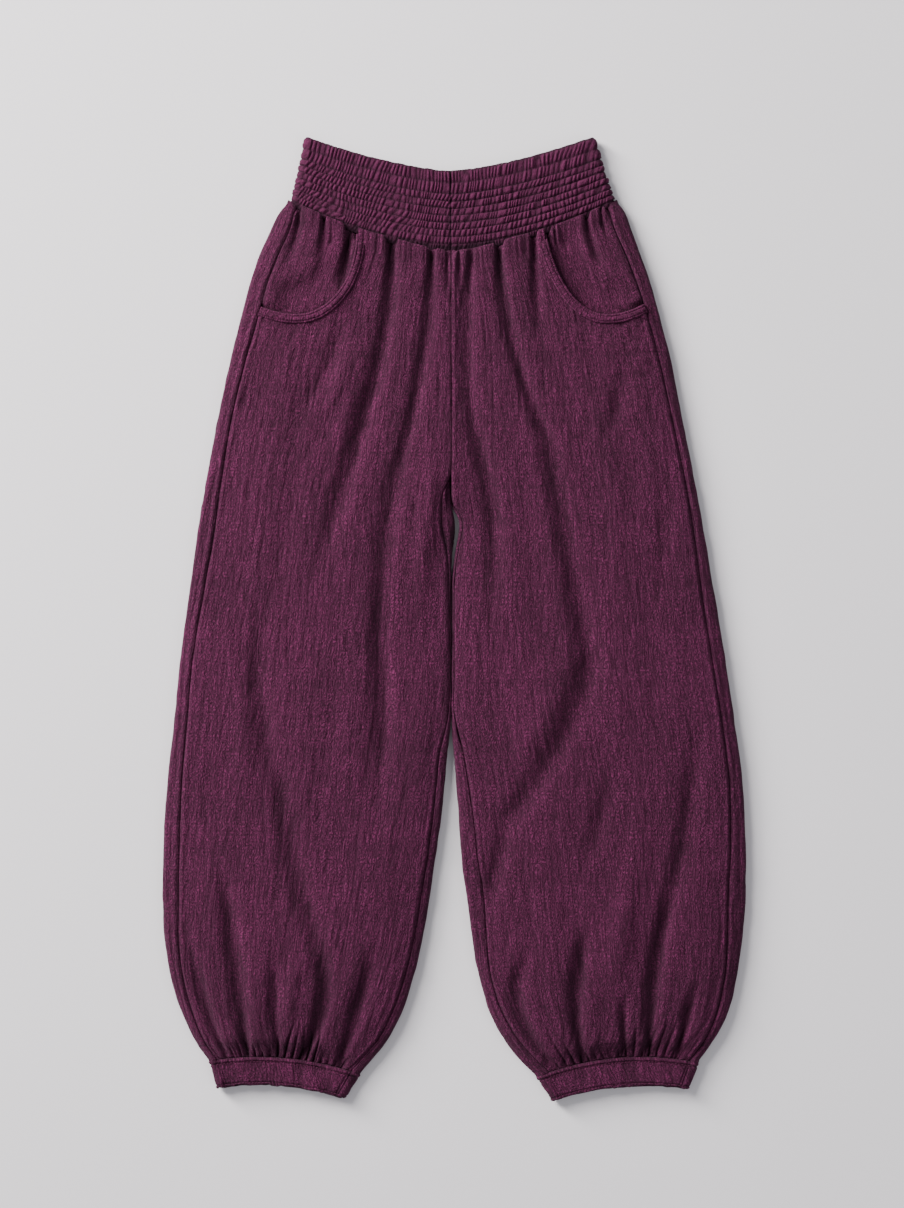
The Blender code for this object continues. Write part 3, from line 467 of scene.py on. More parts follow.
# Cloth and thread, procedural on the pieces' own uv maps, which run in metres
def clothMaterial(name, look):
    material = bpy.data.materials.new(name)
    material.use_nodes = True
    nodes = material.node_tree.nodes
    links = material.node_tree.links
    shader = nodes["Principled BSDF"]
    uvMap = nodes.new("ShaderNodeUVMap")
    uvMap.uv_map = "UVMap"

    def noise(scale, stretch, detail):
        mapping = nodes.new("ShaderNodeMapping")
        mapping.inputs["Scale"].default_value = (1.0, stretch, 1.0)
        texture = nodes.new("ShaderNodeTexNoise")
        texture.inputs["Scale"].default_value = scale
        texture.inputs["Detail"].default_value = detail
        links.new(uvMap.outputs["UV"], mapping.inputs["Vector"])
        links.new(mapping.outputs["Vector"], texture.inputs["Vector"])
        return texture.outputs["Fac"]

    def mixFactor(first, second, amount):
        mix = nodes.new("ShaderNodeMix")
        mix.inputs["Factor"].default_value = amount
        links.new(first, mix.inputs[2])
        links.new(second, mix.inputs[3])
        return mix.outputs[0]

    def mathNode(operation, first, second):
        node = nodes.new("ShaderNodeMath")
        node.operation = operation
        node.use_clamp = operation == "POWER"
        links.new(first, node.inputs[0])
        if isinstance(second, float):
            node.inputs[1].default_value = second
        else:
            links.new(second, node.inputs[1])
        return node.outputs[0]

    def thinLines(texture, width):
        # thin valleys where the noise crosses its middle value; they bump the surface and their dark lines
        # are painted shade
        away = mathNode("ABSOLUTE", mathNode("SUBTRACT", texture, 0.5), 0.0)
        return mathNode("POWER", mathNode("DIVIDE", away, width), 0.7)

    speckle = noise(look["speckleScale"], 0.8, 3.0)
    streak = noise(look["streakScale"], 0.09, 2.0)
    patch = noise(14.0, 0.6, 2.0)
    creases = thinLines(noise(look["creaseScale"], 0.13, 2.0), 0.06)
    blisters = thinLines(noise(look["blisterScale"], 0.7, 1.0), 0.10)
    puckers = mathNode("MINIMUM", creases, mathNode("MAXIMUM", blisters, look["blisterFloor"]))
    blend = mixFactor(mixFactor(speckle, streak, 0.15), patch, 0.15)
    ramp = nodes.new("ShaderNodeValToRGB")
    ramp.color_ramp.elements[0].position = look["low"]
    ramp.color_ramp.elements[0].color = (*look["dark"], 1.0)
    ramp.color_ramp.elements[1].position = look["high"]
    ramp.color_ramp.elements[1].color = (*look["light"], 1.0)
    links.new(blend, ramp.inputs["Fac"])

    # painted shade: mixes a colour towards the crease shade colour by the given factor
    def darkened(colour, factor):
        mix = nodes.new("ShaderNodeMix")
        mix.data_type = "RGBA"
        links.new(factor, mix.inputs["Factor"])
        links.new(colour, mix.inputs[6])
        mix.inputs[7].default_value = (*look["crease"], 1.0)
        return mix.outputs[2]

    # painted shade: darker along the crinkle's crease lines and where the hollow shade attribute is high
    attribute = nodes.new("ShaderNodeAttribute")
    attribute.attribute_name = "hollowShade"
    paintedShade = mathNode("MULTIPLY", mathNode("SUBTRACT", puckers, 1.0), -look["creaseShade"])
    colour = darkened(darkened(ramp.outputs["Color"], paintedShade), attribute.outputs["Fac"])
    links.new(colour, shader.inputs["Base Color"])
    height = mixFactor(puckers, noise(look["threadScale"], 0.6, 1.5), 0.45)
    bump = nodes.new("ShaderNodeBump")
    bump.inputs["Strength"].default_value = look["bump"]
    bump.inputs["Distance"].default_value = look["bumpDistance"]
    links.new(height, bump.inputs["Height"])
    links.new(bump.outputs["Normal"], shader.inputs["Normal"])
    shader.inputs["Roughness"].default_value = 0.92
    shader.inputs["Specular IOR Level"].default_value = 0.12
    shader.inputs["Sheen Weight"].default_value = look["sheen"]
    shader.inputs["Sheen Roughness"].default_value = 0.45
    shader.inputs["Sheen Tint"].default_value = (0.85, 0.42, 0.66, 1.0)
    return material


# Painted shade: the crease colour is the shade laid into the crinkle's crease lines and into folds, seams
# and gaps; the crease shade strength sets how dark the lines are painted.
clothLook = {"dark": (0.0290, 0.0045, 0.0165), "light": (0.102, 0.0147, 0.0562),
             "crease": (0.0115, 0.0023, 0.0074), "low": 0.37, "high": 0.64, "creaseShade": 0.72,
             "blisterFloor": 0.25, "speckleScale": 560.0, "streakScale": 300.0, "threadScale": 760.0,
             "creaseScale": 230.0, "blisterScale": 390.0, "bump": 1.0,
             "bumpDistance": 0.0016, "sheen": 0.05}
threadLook = {**clothLook, "creaseShade": 0.1, "dark": (0.034, 0.0050, 0.0170),
              "light": (0.092, 0.0150, 0.0500), "speckleScale": 1500.0, "threadScale": 2600.0,
              "bump": 0.4}
cloth = clothMaterial("plumCrinkleGauze", clothLook)
bandLook = {**clothLook, "creaseScale": 300.0, "bump": 0.45, "creaseShade": 0.2, "low": 0.2, "high": 0.8,
            "light": (0.086, 0.0125, 0.0470)}
bandCloth = clothMaterial("plumSmockedGauze", bandLook)
cuffCloth = clothMaterial("plumCuffGauze", {**clothLook, "bump": 0.9, "dark": (0.034, 0.0054, 0.0195)})
stripCloth = clothMaterial("plumMouthStrip", {**clothLook, "bump": 0.8})
thread = clothMaterial("plumThread", threadLook)
print("materials made")


# Pocket mouths, the same curves as the solids
pockets = {
    "left": {"centre": (-160.0, 390.7), "halfWidth": 61.0, "depth": 82.0, "rise": 7.6, "riseOver": 36.7},
    "right": {"centre": (155.0, 440.5), "halfWidth": 67.0, "depth": 132.0, "rise": 10.7, "riseOver": 38.0},
}


def mouthLine(side, steps):
    pocket, out = pockets[side], legs[side]["out"]
    cx, cy = pocket["centre"]
    angles = 0.5 * math.pi * np.arange(steps + 1) / steps
    arc = np.stack([cx - out * pocket["halfWidth"] * np.cos(angles),
                    cy - pocket["depth"] * np.sin(angles)], axis=1)
    run = (pocket["riseOver"] + 12.0) * np.arange(1, steps // 2 + 1) / (steps // 2)
    rise = pocket["rise"] * np.minimum(run / pocket["riseOver"], 1.4) ** 2
    rest = np.stack([cx + out * run, cy - pocket["depth"] + rise], axis=1)
    top = np.array([[arc[0, 0], 460.0]])
    return np.concatenate([top, arc, rest])


def insideMouth(side, x, y):
    line = mouthLine(side, 60)
    near = np.full(x.shape, 1e9)
    for a, b in zip(line[:-1], line[1:]):
        span = b - a
        t = ((x - a[0]) * span[0] + (y - a[1]) * span[1]) / (span @ span)
        t = np.clip(t, 0.0, 1.0)
        near = np.minimum(near, np.hypot(x - a[0] - t * span[0], y - a[1] - t * span[1]))
    pocket, out = pockets[side], legs[side]["out"]
    cx, cy = pocket["centre"]
    sideways = (x - cx) * out
    ring = np.hypot((x - cx) / pocket["halfWidth"], (y - cy) / pocket["depth"])
    rise = pocket["rise"] * np.minimum(np.maximum(sideways, 0.0) / pocket["riseOver"], 1.4) ** 2
    overBottom = y > cy - pocket["depth"] + rise
    overArc = (ring < 1.0) | (y > cy) & (np.abs(sideways) < pocket["halfWidth"])
    within = np.where(sideways > 0.0, overBottom, overArc)
    return np.where(within, near, -near)


front = {
    "columns": 198,
    "gathers": 19,
    "gatherDepth": 4.0,
    "gatherLength": 30.0,
    "grainWidth": 262.0,     # width of the cloth before it is gathered, for the grain lines
    "waistBulge": 11.5,
    "waistBulgeRun": 12.0,
    "waistBulgeLift": 3.0,
    "cuffBulge": 2.2,
    "cuffBulgeRun": 6.0,
    "seamSink": 1.4,
    "seamRidge": 0.7,
    "mouthTuck": 1.3,
    "tuck": 4.5,             # seam allowance that goes under the band and the cuff
}


def gatherPlace(leg, k):
    bend = 0.011 * softNoise(k * 13.0, leg["seed"], 50) + 0.005 * softNoise(k * 31.0, 4.0, 51)
    return k + bend * np.sin(math.pi * k)


def gatherDip(leg, k, fromCuff):
    count = front["gathers"]
    depth = front["gatherDepth"] * (0.85 + 0.75 * softNoise(k * count / 2.0, leg["seed"], 52))
    length = front["gatherLength"] * (1.0 + 0.9 * softNoise(k * count / 1.6, leg["seed"], 53))
    wander = 0.0016 * np.maximum(fromCuff, 0.0) * softNoise(k * 9.0, fromCuff / 30.0, 54)
    place = gatherPlace(leg, k) + wander
    wave = (0.5 - 0.5 * np.cos(2.0 * math.pi * count * place)) ** 4.0
    fine = np.abs(softNoise(k * count * 2.3, fromCuff / 26.0, leg["seed"] + 55)) ** 0.6
    dip = np.maximum(depth, 0.0) * wave * ease(1.0 - fromCuff / length) * ease(0.5 + fromCuff / 9.0)
    return dip + 1.8 * (1.0 - fine) ** 1.5 * ease(1.0 - fromCuff / 26.0), wave


def waistGathers(leg, k, fromWaist):
    lines = softNoise(k * 34.0 + 0.02 * fromWaist, fromWaist / 40.0, leg["seed"] + 57)
    dip = np.clip(1.0 - 2.2 * np.abs(lines) ** 0.8, 0.0, 1.0) * foldLook["waistGathers"]
    return dip * ease(1.0 - fromWaist / 34.0) * ease(np.minimum(k, 1.0 - k) / 0.04)


def frontGrid(side, columns, kLow=0.0, kHigh=1.0, rows=None):
    leg = legs[side]
    k = kLow + (kHigh - kLow) * np.arange(columns + 1) / columns
    rows = shares if rows is None else rows
    x, y = [], []
    for share in rows:
        start = sideSeamX(leg, share) - leg["out"] * garment["seamGap"] / 2.0
        end = inseamX(leg, share) + leg["out"] * garment["seamGap"] / 2.0
        line = start + (end - start) * gatherPlace(leg, k)
        x.append(line)
        y.append(rowY(leg, share, line))
    x, y = np.array(x), np.array(y)
    return x, y, np.broadcast_to(k, x.shape)


def grainLines(x, y, k):
    # place across the grain; the bulge at the fork doesn't bend the grain lines
    width = np.abs(x[:, -1] - x[:, 0])
    level = y[:, -1]
    spacing = np.abs(np.gradient(level))
    weight = np.exp(-((level[:, None] - level[None, :]) / 38.0) ** 2) * spacing[None, :]
    smooth = (weight * width[None, :]).sum(axis=1) / weight.sum(axis=1)
    return k * front["grainWidth"] * (width / smooth)[:, None]


def dressedTop(side, x, y, k):
    # full height of a front with its folds, gathers and crinkle, and how much painted shade its hollows
    # get there
    leg = legs[side]
    fromWaist, fromCuff = fromEnds(leg, x, y)
    dip, wave = gatherDip(leg, k, fromCuff)
    dip = dip * np.sin(math.pi * np.clip(k, 0.0, 1.0)) ** 0.3 + waistGathers(leg, k, fromWaist)
    calm = 0.45 + 0.55 * ease(fromWaist / 6.0) * ease(fromCuff / 5.0)
    grain = grainLines(x, y, k)
    crinkled = crinkleHeight(grain, y, leg["seed"], crossCreases(side, x, y)) * calm
    z = np.maximum(topHeight(side, x, y) - dip, 6.5) + crinkled
    deep = np.maximum(foldDepth(side, x, y), 0.0)
    # painted shade: darker in folds and gathers, less on the crinkle's ridges
    hollowShade = deep / 15.0 + dip / 6.0 - crinkled / 2.6
    return z, wave, hollowShade, crinkled


def waistBulge(side, x, y, fromWaist, fromEdge):
    # puffs of the gathered waist bulge over the lower edge of the band
    bump = np.sin(math.pi * np.clip(fromWaist / front["waistBulgeRun"], 0.0, 1.0))
    return waistPuff(side, x, y) * ease(fromEdge / 0.05) * bump


def endRows(grid, first, last):
    # one more row at each end of a leg, for the seam allowances
    return np.concatenate([grid[:1] + first, grid, grid[-1:] + last])


def cellMeans(grid):
    return (grid[:-1, :-1] + grid[1:, :-1] + grid[:-1, 1:] + grid[1:, 1:]) / 4.0


def makeFront(side):
    leg = legs[side]
    x, y, k = frontGrid(side, front["columns"])
    z, wave, hollowShade, _ = dressedTop(side, x, y, k)
    fromWaist, fromCuff = fromEnds(leg, x, y)
    bulge = waistBulge(side, x, y, fromWaist, np.minimum(k, 1.0 - k))
    z = z + front["waistBulgeLift"] * bulge
    y = y + front["waistBulge"] * bulge
    bump = np.sin(math.pi * np.clip(fromCuff / front["cuffBulgeRun"], 0.0, 1.0))
    y = y - (1.0 - wave) * front["cuffBulge"] * bump * ease(np.minimum(k, 1.0 - k) / 0.06)
    z = z - 1.2 * np.exp(-fromCuff / 1.6) - 1.0 * np.exp(-fromWaist / 1.6)
    # edges sink into the side seam, the inseam and the centre seam
    width = np.abs(x[:, -1:] - x[:, :1])
    edge = np.minimum(k, 1.0 - k) * width
    atCentre = ease((y - 108.0) / 30.0) * (k > 0.5)
    between = ease((y + 128.0) / 16.0) * ease((128.0 - y) / 10.0) * (k > 0.5)
    between = between * (1.0 - (side == "left") * ease((y - 50.0) / 12.0))
    sink = front["seamSink"] * (1.0 - 0.45 * atCentre - 0.7 * between)
    z = z - sink * np.exp(-edge / 0.9)
    ridge = np.exp(-((edge - 3.2) / 1.5) ** 2) * (1.0 - atCentre * (side == "left"))
    ridge = ridge * (1.0 - between)
    z = z + front["seamRidge"] * ridge
    # painted shade along the sunk seam edges, less on the ridge beside them, and at the inner edges by the
    # fork; the tucked seam allowances are painted in shade too
    hollowShade = hollowShade + (0.32 - 0.05 * atCentre) * np.exp(-edge / 0.9) - 0.25 * ridge
    hollowShade = hollowShade + 0.55 * np.exp(-edge / 2.4 - ((y - 82.0) / 34.0) ** 2) * (k > 0.5)
    grain = grainLines(x, y, k)
    x, grain, hollowShade = endRows(x, 0.0, 0.0), endRows(grain, 0.0, 0.0), endRows(hollowShade, 0.4, 0.4)
    y = endRows(y, front["tuck"], -front["tuck"])
    z = np.concatenate([np.minimum(z[:1], 9.6) - 1.6, z, np.minimum(z[-1:], 10.0) - 1.6])
    keep = cellMeans(insideMouth(side, x, y)) < -front["mouthTuck"]
    points, uv, hollowShade, faces = cutSheet(side, x, y, z, grain, hollowShade, keep)
    meshPiece("frontLeg_" + side, points, faces, uv, cloth,
              ["front_leg_" + side], hollowShade=hollowShade)


back = {
    "topColumns": 10,
    "arcColumns": 18,
    "floorColumns": 56,
    "curlRun": 12.0,
    "curlTail": 4.0,
    "grainWidth": 320.0,
    "underGathers": 19,
    "underDepth": 2.0,
    "tuckDepth": -1.8,       # of the seam allowances, under the surface
}


def outerSection(side, share):
    # from the side seam round the outer edge: x, z and the direction that faces out
    leg, roll = legs[side], garment["roll"]
    xOut, yOut, _, _ = rowEnds(leg, share)
    across = float(lean(outerEdge, leg, yOut))
    inwards = -leg["out"]
    seam = sideSeamX(leg, share) + leg["out"] * garment["seamGap"] / 2.0
    arcStart = xOut + inwards * roll / across
    t = np.arange(back["topColumns"]) / back["topColumns"]
    x = seam + (arcStart - seam) * t
    z = topHeight(side, x, rowY(leg, share, x))
    angle = math.pi * (0.5 - np.arange(back["arcColumns"] + 1) / back["arcColumns"])
    x = np.concatenate([x, xOut + inwards * roll * (1.0 - np.cos(angle)) / across])
    z = np.concatenate([z, roll + roll * np.sin(angle)])
    nx = np.concatenate([0.0 * t, -inwards * np.cos(angle)])
    nz = np.concatenate([0.0 * t + 1.0, np.sin(angle)])
    return x, z, nx, nz


def innerSection(side, share):
    # the inner end of a back, flat at the centre seam or curled over to the inseam
    leg, roll = legs[side], garment["roll"]
    _, _, xIn, yIn = rowEnds(leg, share)
    curl = float(np.clip(smoothCurve(leg["inner"], 3, yIn), 0.0, 1.0))
    across = 1.0 + (float(lean(innerEdge, leg, yIn)) - 1.0) * (curl >= 1.0)
    inset = abs(inseamX(leg, share) - xIn) * across
    flatRun = back["curlRun"] * (1.0 - curl)
    turn = math.pi * curl
    tail = curl * max(inset - roll, 1.0) + (1.0 - curl) * back["curlTail"] - garment["seamGap"] / 2.0
    reach = roll if turn > math.pi / 2.0 else roll * math.sin(turn) + tail * math.cos(turn)
    reach = max(reach, 0.0) + garment["seamGap"] / 2.0 * (curl < 0.5)
    length = flatRun + roll * turn
    i = np.arange(back["arcColumns"] + back["topColumns"] + 1)
    run = np.minimum(i / back["arcColumns"], 1.0) * length
    angle = np.maximum(run - flatRun, 0.0) / roll
    extra = tail * np.maximum(i - back["arcColumns"], 0) / back["topColumns"]
    distance = reach + np.maximum(flatRun - run, 0.0) - roll * np.sin(angle) - extra * np.cos(angle)
    z = roll - roll * np.cos(angle) + extra * np.sin(angle)
    x = xIn + leg["out"] * distance / across
    lifted = topHeight(side, x, rowY(leg, share, x))
    settled = ease((curl - 0.9) / 0.1) * (extra > 0.0)
    z = z * (1.0 - settled) + lifted * settled
    return x, z, -leg["out"] * np.sin(angle), -np.cos(angle)


def makeBack(side):
    leg = legs[side]
    rows = []
    for share in shares:
        start, end = outerSection(side, share), innerSection(side, share)
        t = np.arange(1, back["floorColumns"]) / back["floorColumns"]
        floorX = start[0][-1] + (end[0][0] - start[0][-1]) * t
        floorPart = (floorX, 0.0 * t, 0.0 * t, 0.0 * t - 1.0)
        row = [np.concatenate(parts) for parts in zip(start, floorPart, end)]
        rows.append(row + [rowY(leg, share, row[0])])
    x, z, nx, nz, y = [np.array(grid) for grid in zip(*rows)]
    steps = np.hypot(np.diff(x, axis=1), np.diff(z, axis=1))
    along = np.concatenate([np.zeros((len(x), 1)), np.cumsum(steps, axis=1)], axis=1)
    k = along / along[:, -1:]
    grain = k * back["grainWidth"]
    lift = crinkleHeight(grain, y, leg["seed"] + 60)
    # painted shade, deeper in the crinkle's valleys
    hollowShade = 0.1 - lift / 2.6
    under = ease((-nz - 0.2) / 0.8)
    outward = lift * (1.0 - under)
    x = x + nx * outward
    z = z + nz * outward + under * (0.35 + 0.55 * lift)
    # creases on the underside rise off the surface near the waist and the cuff
    fromWaist, fromCuff = fromEnds(leg, x, y)
    wave = (0.5 - 0.5 * np.cos(2.0 * math.pi * back["underGathers"] * gatherPlace(leg, k))) ** 1.5
    near = np.maximum(ease(1.0 - fromWaist / 46.0) * 0.8, ease(1.0 - fromCuff / 40.0))
    z = z + under * back["underDepth"] * wave * near
    edge = np.minimum(along, along[:, -1:] - along)
    z = z - front["seamSink"] * np.exp(-edge / 0.9) * np.sign(nz) * (1.0 - under)
    z = z + front["seamRidge"] * np.exp(-((along - 3.5) / 1.8) ** 2) * (1.0 - under)
    # painted shade along the seam edges, on the left back in the gap at the fork, and on the tucked seam
    # allowances
    hollowShade = hollowShade + 0.32 * np.exp(-edge / 0.9)
    if side == "left":
        hollowShade = hollowShade + 0.8 * np.exp(-((x - 0.5) / 7.5) ** 2 - ((y - 82.0) / 19.0) ** 2)
    z = np.maximum(z, 0.02)
    x = endRows(x, back["tuckDepth"] * nx[:1], back["tuckDepth"] * nx[-1:])
    z = endRows(z, back["tuckDepth"] * nz[:1], back["tuckDepth"] * nz[-1:])
    y = endRows(y, front["tuck"], -front["tuck"])
    grain, hollowShade = endRows(grain, 0.0, 0.0), endRows(hollowShade, 0.4, 0.4)
    points, uv = np.stack([x, y, z], axis=-1), np.stack([grain, y], axis=-1)
    faces = latticeFaces(*x.shape, flip=side == "right")
    meshPiece("backLeg_" + side, points, faces, uv, cloth,
              ["back_leg_" + side], hollowShade=hollowShade)


band = {
    "left": (-167.2, -151.4),
    "right": (164.4, 142.6),
    "topCentre": 455.4,
    "topRise": 34.6,
    "topPower": 1.5,
    "roll": 5.5,
    "frontColumns": 520,
    "backColumns": 190,
    "arcColumns": 12,
    "perRow": 7,             # rings in each row of puffs
    "narrowRows": 8,
    "narrowRow": 7.4,
    "wideRows": 2,
    "wideRow": 11.7,
    "puffPitch": 4.5,
    "puffHeight": 2.3,
    "puffRound": 0.65,       # smaller is fuller, with narrower valleys
    "rowRound": 0.34,
    "faintLine": 0.3,        # how full the cloth stays on the faint line near the top
    "leanLeft": 0.034,
    "leanRight": 0.012,
    "seamX": -3.4,           # centre-front seam
    "seamDip": 1.4,
    "dipRun": 11.0,
    "rimHeight": 6.0,        # of the bulging puffs, above the waist seam
    "fan": 0.07,             # slant of the long puffs at the lower left
    "fanHeight": 26.0,
    # turned-over top edge, ring by ring: inset, rise, share of the height
    "lips": [(0.35, 0.5, 0.9), (1.1, 0.3, 0.75), (1.8, -2, 0.62), (2, -9, 0.58), (2, -24, 0.58)],
}


def flattenedRing(low, high, roll, topColumns, underColumns, arcColumns):
    # ring round a flattened tube: x, z, the direction that faces out and the way round
    angle = math.pi * (0.5 - np.arange(1, arcColumns) / arcColumns)
    top = np.linspace(low + roll, high - roll, topColumns + 1)
    under = np.linspace(high - roll, low + roll, underColumns + 1)
    cos, sin = np.cos(angle), np.sin(angle)
    x = np.concatenate([top, high - roll + roll * cos, under, low + roll - roll * cos])
    z = np.concatenate([top * 0 + 2 * roll, roll + roll * sin, under * 0, roll - roll * sin])
    nx = np.concatenate([top * 0, cos, under * 0, -cos])
    nz = np.concatenate([top * 0 + 1, sin, under * 0 - 1, -sin])
    around = np.concatenate([[0.0], np.cumsum(np.hypot(np.diff(x), np.diff(z)))])
    return x, z, nx, nz, around


def bandRings():
    # row of puffs, place in the row and place in the whole band, for each ring
    heights = [band["narrowRow"]] * band["narrowRows"] + [band["wideRow"]] * band["wideRows"]
    lines = np.concatenate([[0.0], np.cumsum(heights)]) / sum(heights)
    per = band["perRow"]
    rings = []
    for row, (low, high) in enumerate(zip(lines[:-1], lines[1:])):
        rings += [(row, step / per, low + (high - low) * step / per) for step in range(per)]
    return rings + [(len(heights) - 1, 1.0, 1.0)], sum(heights)


def puffs(row, part, level, around, spread):
    # each row swells between its stitch lines; the puffs drift and lean more on the left
    leftness = ease(0.5 - 0.9 * spread)
    leftward = np.clip(-spread, 0.0, 1.0)
    swell = np.sin(math.pi * part) ** band["rowRound"]
    merged = leftness * (0.28 + 0.25 * softNoise(around / 16.0, row * 0.9, 15))
    merged = merged + 0.4 * leftness * float(ease((band["fanHeight"] - level) / 10.0))
    swell = swell * (1.0 - merged) + merged * 0.8
    lastRow = band["narrowRows"] + band["wideRows"] - 1
    if row == lastRow - 1:
        swell = np.maximum(swell, band["faintLine"] * ease(2.0 * part))
    if row == lastRow:
        swell = np.maximum(swell, band["faintLine"] * ease(2.0 - 2.0 * part))
    drift = 1.5 * softNoise(around / 31.0, level / 26.0, 5)
    drift = drift + (1.1 - 0.6 * leftness) * softNoise(around / 9.0, row * 1.7, 6)
    slant = 0.2 * softNoise(around / 40.0, row / 3.0, 7) * part
    tilt = band["leanLeft"] * leftward ** 0.6 - band["leanRight"] * np.clip(spread, 0.0, 1.0)
    slant = slant - tilt * level
    shuffle = 2.0 * (1.0 - leftness) * softNoise(around / 60.0, row * 9.1, 8)
    fan = band["fan"] * leftward ** 1.5 * min(level, band["fanHeight"])
    phase = around / band["puffPitch"] + drift + slant + shuffle - fan
    wave = np.abs(np.sin(math.pi * phase)) ** band["puffRound"]
    body = 0.05 + 0.95 * wave * (0.78 + 0.5 * softNoise(around / 5.0, row * 2.3, 9))
    return band["puffHeight"] * swell * body, wave, swell


def makeWaistband():
    rings, total = bandRings()
    points, uvs, hollowShade = [], [], []
    for row, part, share in rings:
        xLeft = band["left"][0] + (band["left"][1] - band["left"][0]) * share
        xRight = band["right"][0] + (band["right"][1] - band["right"][0]) * share
        x, z, nx, nz, around = flattenedRing(xLeft, xRight, band["roll"], band["frontColumns"],
                                             band["backColumns"], band["arcColumns"])
        middle, half = (xLeft + xRight) / 2.0, (xRight - xLeft) / 2.0
        spread = np.clip((x - middle) / half, -1.0, 1.0)
        level = share * total
        height, wave, swell = puffs(row, part, level, around, spread)
        seamLine = np.exp(-((x - band["seamX"]) / 0.9) ** 2) * (nz > 0.5)
        nearSeam = 1.0 - float(ease(level / band["dipRun"]))
        height = height * (1.0 - 0.6 * nearSeam) - 1.3 * nearSeam - band["seamDip"] * seamLine
        height = height - 0.25 * (1.0 - swell)
        # painted shade: darker where the puffs are low, in the valleys between them, along the row lines
        # and on the centre seam
        hollowShade.append(0.62 - 0.4 * height + 0.35 * (1.0 - wave) ** 1.5 + 0.3 * seamLine
                      + 0.25 * (1.0 - swell))
        # shade along the rims of the puffs that bulge over the band
        low = [rowY(legs[name], 0.0, x) for name in ("left", "right")]
        rim = np.where(x < -3.0, waistPuff("left", x, low[0]), waistPuff("right", x, low[1]))
        rim = rim * band["rimHeight"]
        hollowShade[-1] = hollowShade[-1] + 0.5 * np.exp(-((level - rim - 0.6) / 1.2) ** 2) * (nz > 0.5)
        x = x + nx * height
        z = z + np.where(nz < 0.0, nz * (height - band["puffHeight"]), nz * height)
        seam = np.where(x < -3.0, low[0], low[1])
        top = band["topCentre"] + band["topRise"] * np.abs(spread) ** band["topPower"]
        y = (seam + garment["seamEase"]) * (1.0 - share) + top * share
        y = y + 0.5 * softNoise(around / 4.0, 3.0, 12) * ease((share - 0.9) / 0.1)
        y = y + 0.35 * softNoise(around / 22.0, row * 3.3, 13) * min(share, 1.0 - share) * 4.0
        points.append(np.stack([x, y, np.maximum(z, 0.02)], axis=1))
        uvs.append(np.stack([around, np.full_like(around, level)], axis=1))
    points = np.array(points)
    # the top edge turns over and goes down inside
    centre, roll = points[-1].mean(axis=0), band["roll"]
    for inset, rise, squeeze in band["lips"]:
        ring = points[-1].copy()
        ring[:, 0] -= np.sign(ring[:, 0] - centre[0]) * inset * (np.abs(ring[:, 2] - roll) < 5.0)
        ring[:, 1] += rise
        ring[:, 2] = roll + (ring[:, 2] - roll) * squeeze
        points = np.concatenate([points, ring[None]])
        uvs.append(uvs[-1] + np.array([0.0, 1.5]))
        hollowShade.append(hollowShade[-1])
    uvs, hollowShade = np.array(uvs), np.array(hollowShade)
    meshPiece("waistband_smocked", points, latticeFaces(*points.shape[:2], closed=True), uvs,
              bandCloth, ["waistband"], hollowShade=hollowShade)


cuffs = {
    "frontColumns": 200,
    "backColumns": 64,
    "arcColumns": 12,
    "rings": 44,
    "depth": 29.0,
    "hemStitch": 26.2,       # groove of the hem stitches, below the seam
    "hemThread": 26.5,
    "hemTurn": 27.6,         # where the hem starts to turn under
    "hemRound": 1.2,
    "stitchFromSeam": 4.8,
    "stitchGroove": 0.9,
    "sideLines": (9.0, 11.4),
    "wall": 1.3,
}


def cuffSurface(side, u, share):
    # plan position on a cuff, u from its outer to its inner end, share from seam to hem
    leg = legs[side]
    xOut, _, xIn, _ = rowEnds(leg, 1.0)
    (hemXOut, hemYOut), (hemXIn, hemYIn) = leg["hem"]
    endOut = xOut + (hemXOut - xOut) * share
    endIn = xIn + (hemXIn - xIn) * share
    x = endOut + (endIn - endOut) * u
    seam = rowY(leg, 1.0, xOut + (xIn - xOut) * u) - garment["seamEase"]
    hem = hemYOut + (hemYIn - hemYOut) * u + leg["hemBow"] * 4.0 * u * (1.0 - u)
    return x, seam * (1.0 - share) + hem * share, endOut, endIn


